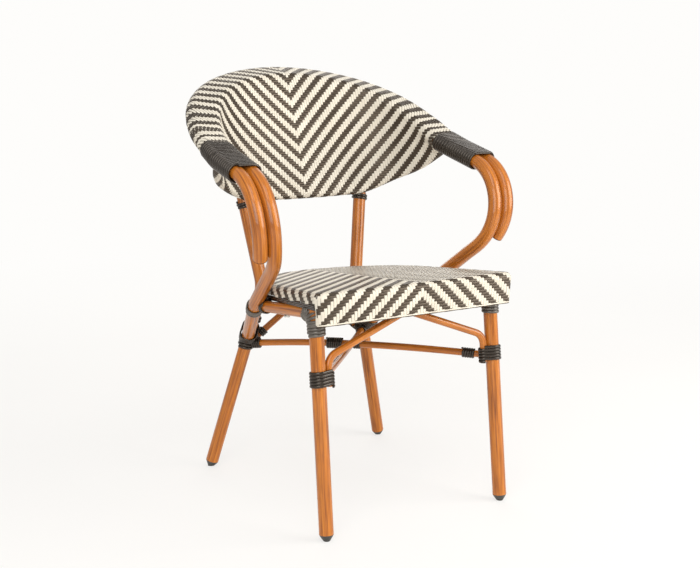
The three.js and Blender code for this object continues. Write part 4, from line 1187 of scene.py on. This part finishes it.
def over_edge(place, out, beyond, tuck=0.0):
    """A point of the cloth's middle at a length beyond the line where the edge roll starts."""
    depth = CLOTH_THICKNESS / 2
    if beyond <= ROLL_LENGTH:
        angle = max(beyond, 0.0) / ROLL_RADIUS
        reach, down = ROLL_RADIUS * math.sin(angle), depth + ROLL_RADIUS * (1 - math.cos(angle))
        normal = Vector((out.x * math.sin(angle), out.y * math.sin(angle), math.cos(angle)))
    else:
        further = beyond - ROLL_LENGTH
        reach = ROLL_RADIUS - tuck * further / (APRON_DROP - EDGE_ROLL)
        down = EDGE_ROLL + further
        normal = Vector((out.x, out.y, 0))
    x, y = place.x + out.x * reach, place.y + out.y * reach
    return (x, y, seat_top_at(y) - down), tuple(normal)


inset_half = seat_outline(EDGE_ROLL)
inset_ring = inset_half + [
    (Vector((-p.x, p.y)), Vector((-o.x, o.y)), d) for p, o, d in reversed(inset_half[1:-1])
]
ring_places = np.array([tuple(p) for p, _, _ in inset_ring])
ring_outs = np.array([tuple(o) for _, o, _ in inset_ring])
ring_drops = np.array([d for _, _, d in inset_ring])
TOP_NORMAL = tuple(Vector((0, SEAT_FALL, 1)).normalized())


def top_or_skirt(x, y):
    """The cloth point at x, y on the unfolded cloth, or None past its edge or on the apron."""
    offsets = np.array((x, y)) - ring_places
    near = int(np.argmin(np.sum(offsets**2, axis=1)))
    out = ring_outs[near]
    beyond = float(offsets[near] @ out)
    if beyond <= 0:
        return (x, y, seat_top_at(y) - CLOTH_THICKNESS / 2), TOP_NORMAL
    if ring_drops[near] == APRON_DROP:
        return None
    if beyond > ROLL_LENGTH + ring_drops[near] - EDGE_ROLL:
        return None
    square = offsets[near] - beyond * out
    place = Vector(ring_places[near] + square)
    return over_edge(place, Vector(out), beyond)


def smooth_share(a):
    a = min(max(a, 0.0), 1.0)
    return a * a * (3 - 2 * a)


def seat_point(u, v):
    """The cloth point at cloth lengths u to the right and v to the rear, or None."""
    if v < FRONT_INSET:
        beyond = FRONT_INSET - v
        if beyond > ROLL_LENGTH + APRON_DROP - EDGE_ROLL:
            return None
        turn = max(abs(u) - CORNER_X, 0.0) / (SEAT_CORNER_RADIUS - CLOTH_THICKNESS / 2)
        if turn > APRON_CORNER_TURN:
            return None
        if turn > 0:
            out = Vector((math.copysign(math.sin(turn), u), -math.cos(turn)))
            inset = SEAT_CORNER_RADIUS - EDGE_ROLL
            place = Vector((math.copysign(CORNER_X, u), CORNER_Y)) + out * inset
        else:
            out = Vector((-SEAT_BOW * 2 * u / CORNER_X**2, -1)).normalized()
            place = Vector((u, FRONT_INSET - front_bow(u)))
        return over_edge(place, out, beyond, APRON_TUCK)
    settle = 1 - smooth_share((v - FRONT_INSET) / SETTLE_LENGTH)
    return top_or_skirt(u, v - front_bow(u) * settle)


SEAT_LAST = 42
SEAT_REACH = 250.0
TRACE_STEP = 1.0


def traced(steps, at, cell, over_at, width):
    """Strands through the cloth points at the given steps, where the cloth has any."""
    hits = [at(t) for t in steps]
    valid = [h is not None for h in hits]
    points, normals = (np.array([h[n] if h else (0, 0, 0) for h in hits]) for n in (0, 1))
    return strands_along(steps, points, normals, valid, cell, over_at, width)


def seat_strands():
    wide, tall = SEAT_CELL
    columns, rows = [], []
    front_end = FRONT_INSET - ROLL_LENGTH - APRON_DROP + EDGE_ROLL
    rear_end = 220.0
    for i in range(-SEAT_LAST, SEAT_LAST + 1):
        u = i * wide
        spans = [(front_end, rear_end)]
        if abs(u) > CORNER_X:
            spans = [(front_end, FRONT_INSET - 0.01), (FRONT_INSET + 0.01, rear_end)]
        for low, high in spans:
            columns += traced(
                np.arange(low + 0.001, high, TRACE_STEP) - SEAT_ROW_START,
                lambda v: seat_point(u, v + SEAT_ROW_START),
                tall, lambda j: column_over(i, j, SEAT_CHEVRON), wide,
            )
    for j in range(math.ceil((front_end - SEAT_ROW_START) / tall), SEAT_LAST):
        v = j * tall + SEAT_ROW_START
        rows += traced(
            np.arange(-SEAT_REACH, SEAT_REACH, TRACE_STEP), lambda u: seat_point(u, v),
            wide, lambda i: not column_over(i, j, SEAT_CHEVRON), tall,
        )
    return columns, rows


finish_cloth("seat", *seat_strands(), "seat_weave")


# Edge cords of the cloth

EDGE_CORD_SIDES = 12


def ring_route(half, inset_by, drop_by):
    return [
        Vector((p.x - o.x * inset_by, p.y - o.y * inset_by, seat_top_at(p.y) - d - drop_by))
        for p, o, d in half
    ]


def edge_cord(route, width, thickness):
    return swept(
        rolling_frames(route, UPWARDS), oval_section(width, thickness, EDGE_CORD_SIDES)
    )


outline_half = seat_outline(0.0)
apron_half = [h for h in outline_half if h[2] == APRON_DROP]
apron_edge = ring_route(apron_half, CLOTH_THICKNESS / 2 + APRON_TUCK, 0.0)
apron_edge = both_sides(apron_edge[1:], apron_edge[:1])
finish_piece(
    "apron_edge_cord", edge_cord(apron_edge, 3.4, 3.0), cream_strand, "woven_strand", ["seat_weave"]
)
side_half = [h for h in outline_half if h[2] != APRON_DROP][2:]
binding_and_shade_cords = []
# The top row of dark cord binds the seat's edge; the rows below it fill the gap down to the side
# rail as painted shade
for inset_by, drop_by, tall in ((1.6, 1.9, 3.4), (1.8, 5.0, 3.4), (6.4, 9.2, 5.0)):
    line = ring_route(side_half, inset_by, drop_by)
    line = line + [mirrored(p) for p in reversed(line[:-1])]
    binding_and_shade_cords.append(edge_cord(line, tall, 3.4))
finish_piece(
    "seat_edge_binding_and_shade_fill", gather(binding_and_shade_cords), dark_cord, "dark_strand", ["seat_binding"]
)
lower_edge = [
    Vector(p) + Vector(n) * 0.2 for p, n in zip(back_places[::3, 0], back_normals[::3, 0])
]
upper_edge = [Vector(p) for p in back_places[::3, -1]]
for name, route in (("back_lower_edge_cord", lower_edge), ("back_upper_edge_cord", upper_edge)):
    finish_piece(name, edge_cord(route, 3.6, 2.4), dark_cord, "dark_strand", ["back_weave"])


# Seat pan, bars and screws, seen only from below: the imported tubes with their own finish

for name, node in nodes.items():
    if not node.hide_render:
        node.data.materials.clear()
        node.data.materials.append(plating if "screw" in name else brown_paint)


# Floor, backdrop, lamps and camera


BACKDROP = (0.99, 0.982, 0.965, 1)
AMBIENT = 0.6


def studio_floor():
    """Pale paper that keeps the chair's shadow and, for the camera, fades into the backdrop."""
    material, tree, shader = new_material("studio_floor")
    place = object_vector(tree)
    paper = noise(tree, place, 1.5, 2.0, 0.5)
    set_inputs(tree, shader, {
        "Base Color": ramp(tree, paper, (0.3, (0.80, 0.785, 0.765)), (0.7, (0.825, 0.81, 0.79))),
        "Roughness": 0.9,
        "Specular IOR Level": 0.1,
    })
    reach = add_node(tree, "VectorMath", {0: place}, operation="LENGTH")["Value"]
    fade = add_node(
        tree, "MapRange", {"Value": reach, "From Min": 0.6, "From Max": 3.2, "To Min": 0.68},
        interpolation_type="SMOOTHSTEP",
    )["Result"]
    seen = add_node(tree, "LightPath", {})["Is Camera Ray"]
    share = add_node(tree, "Math", {0: seen, 1: fade}, operation="MULTIPLY")["Value"]
    glow = add_node(tree, "Emission", {"Color": BACKDROP})["Emission"]
    blend = add_node(tree, "MixShader", {"Fac": share, 1: shader.outputs["BSDF"], 2: glow})
    set_inputs(tree, tree.nodes["Material Output"], {"Surface": blend["Shader"]})
    return material


FLOOR_RADIUS = 9.0
FLOOR_SIDES = 96
FLOOR_DROP = 0.0005
LAMP_AIM_HEIGHT = 0.5
SQUARE = (1.8, 1.8)

floor_bm = bmesh.new()
bmesh.ops.create_circle(floor_bm, cap_ends=True, segments=FLOOR_SIDES, radius=FLOOR_RADIUS)
floor_mesh = bpy.data.meshes.new("floor")
floor_bm.to_mesh(floor_mesh)
floor_bm.free()
floor_mesh.materials.append(studio_floor())
floor = bpy.data.objects.new("floor", floor_mesh)
floor.data.transform(Matrix.Translation((0, 0, -FLOOR_DROP)))
scene.collection.objects.link(floor)

world = bpy.data.worlds.new("studio_world")
scene.world = world
world.use_nodes = True
sky = world.node_tree
seen = add_node(sky, "LightPath", {})["Is Camera Ray"]
level = add_node(sky, "MapRange", {"Value": seen, "To Min": AMBIENT, "To Max": 1.0})["Result"]
set_inputs(sky, sky.nodes["Background"], {"Color": BACKDROP, "Strength": level})


def way_to(azimuth, elevation):
    """Level azimuth 0 is in front of the chair and a quarter turn is on the +X side, in radians."""
    return Vector((
        math.sin(azimuth) * math.cos(elevation), -math.cos(azimuth) * math.cos(elevation),
        math.sin(elevation),
    ))


def soft_box(name, azimuth, elevation, distance, size, watts, colour):
    """A lamp that faces the seat, from a place given by angles in degrees."""
    lamp = bpy.data.lights.new(name, "AREA")
    lamp.shape = "RECTANGLE"
    lamp.size, lamp.size_y = size
    lamp.energy = watts
    lamp.color = colour
    holder = bpy.data.objects.new(name, lamp)
    way = way_to(math.radians(azimuth), math.radians(elevation))
    holder.location = Vector((0, 0, LAMP_AIM_HEIGHT)) + way * distance
    holder.rotation_mode = "QUATERNION"
    holder.rotation_quaternion = way.to_track_quat("Z", "Y")
    scene.collection.objects.link(holder)


soft_box("key_box", 44, 18, 2.6, SQUARE, 54, (1.0, 0.97, 0.93))
soft_box("left_box", -38, 18, 2.8, SQUARE, 35, (1.0, 0.98, 0.95))
soft_box("front_box", -25, 58, 3.2, SQUARE, 26, (1.0, 0.98, 0.96))
soft_box("rear_box", 155, 22, 2.9, (2.4, 1.6), 26, (1.0, 0.96, 0.92))

# The camera that the photo was taken with, worked out from the chair's symmetry
SENSOR_WIDTH = 36
FOCAL_PIXELS = 1144.54
PHOTO_WIDTH = 700
CAMERA_AZIMUTH, CAMERA_ELEVATION, CAMERA_ROLL = -0.524862, 0.181030, -0.007642
CAMERA_DISTANCE = 2.2997

camera_data = bpy.data.cameras.new("camera")
camera_data.sensor_width = SENSOR_WIDTH
camera_data.lens = FOCAL_PIXELS * SENSOR_WIDTH / PHOTO_WIDTH
camera = bpy.data.objects.new("camera", camera_data)
target = Vector((-0.00152, -middle_y / 1000, 0.41517))
away = way_to(CAMERA_AZIMUTH, CAMERA_ELEVATION)
camera.location = target + away * CAMERA_DISTANCE
camera.rotation_mode = "QUATERNION"
level_view = (-away).to_track_quat("-Z", "Y")
camera.rotation_quaternion = level_view @ Matrix.Rotation(CAMERA_ROLL, 3, "Z").to_quaternion()
scene.collection.objects.link(camera)
scene.camera = camera

scene.view_settings.view_transform = "Standard"
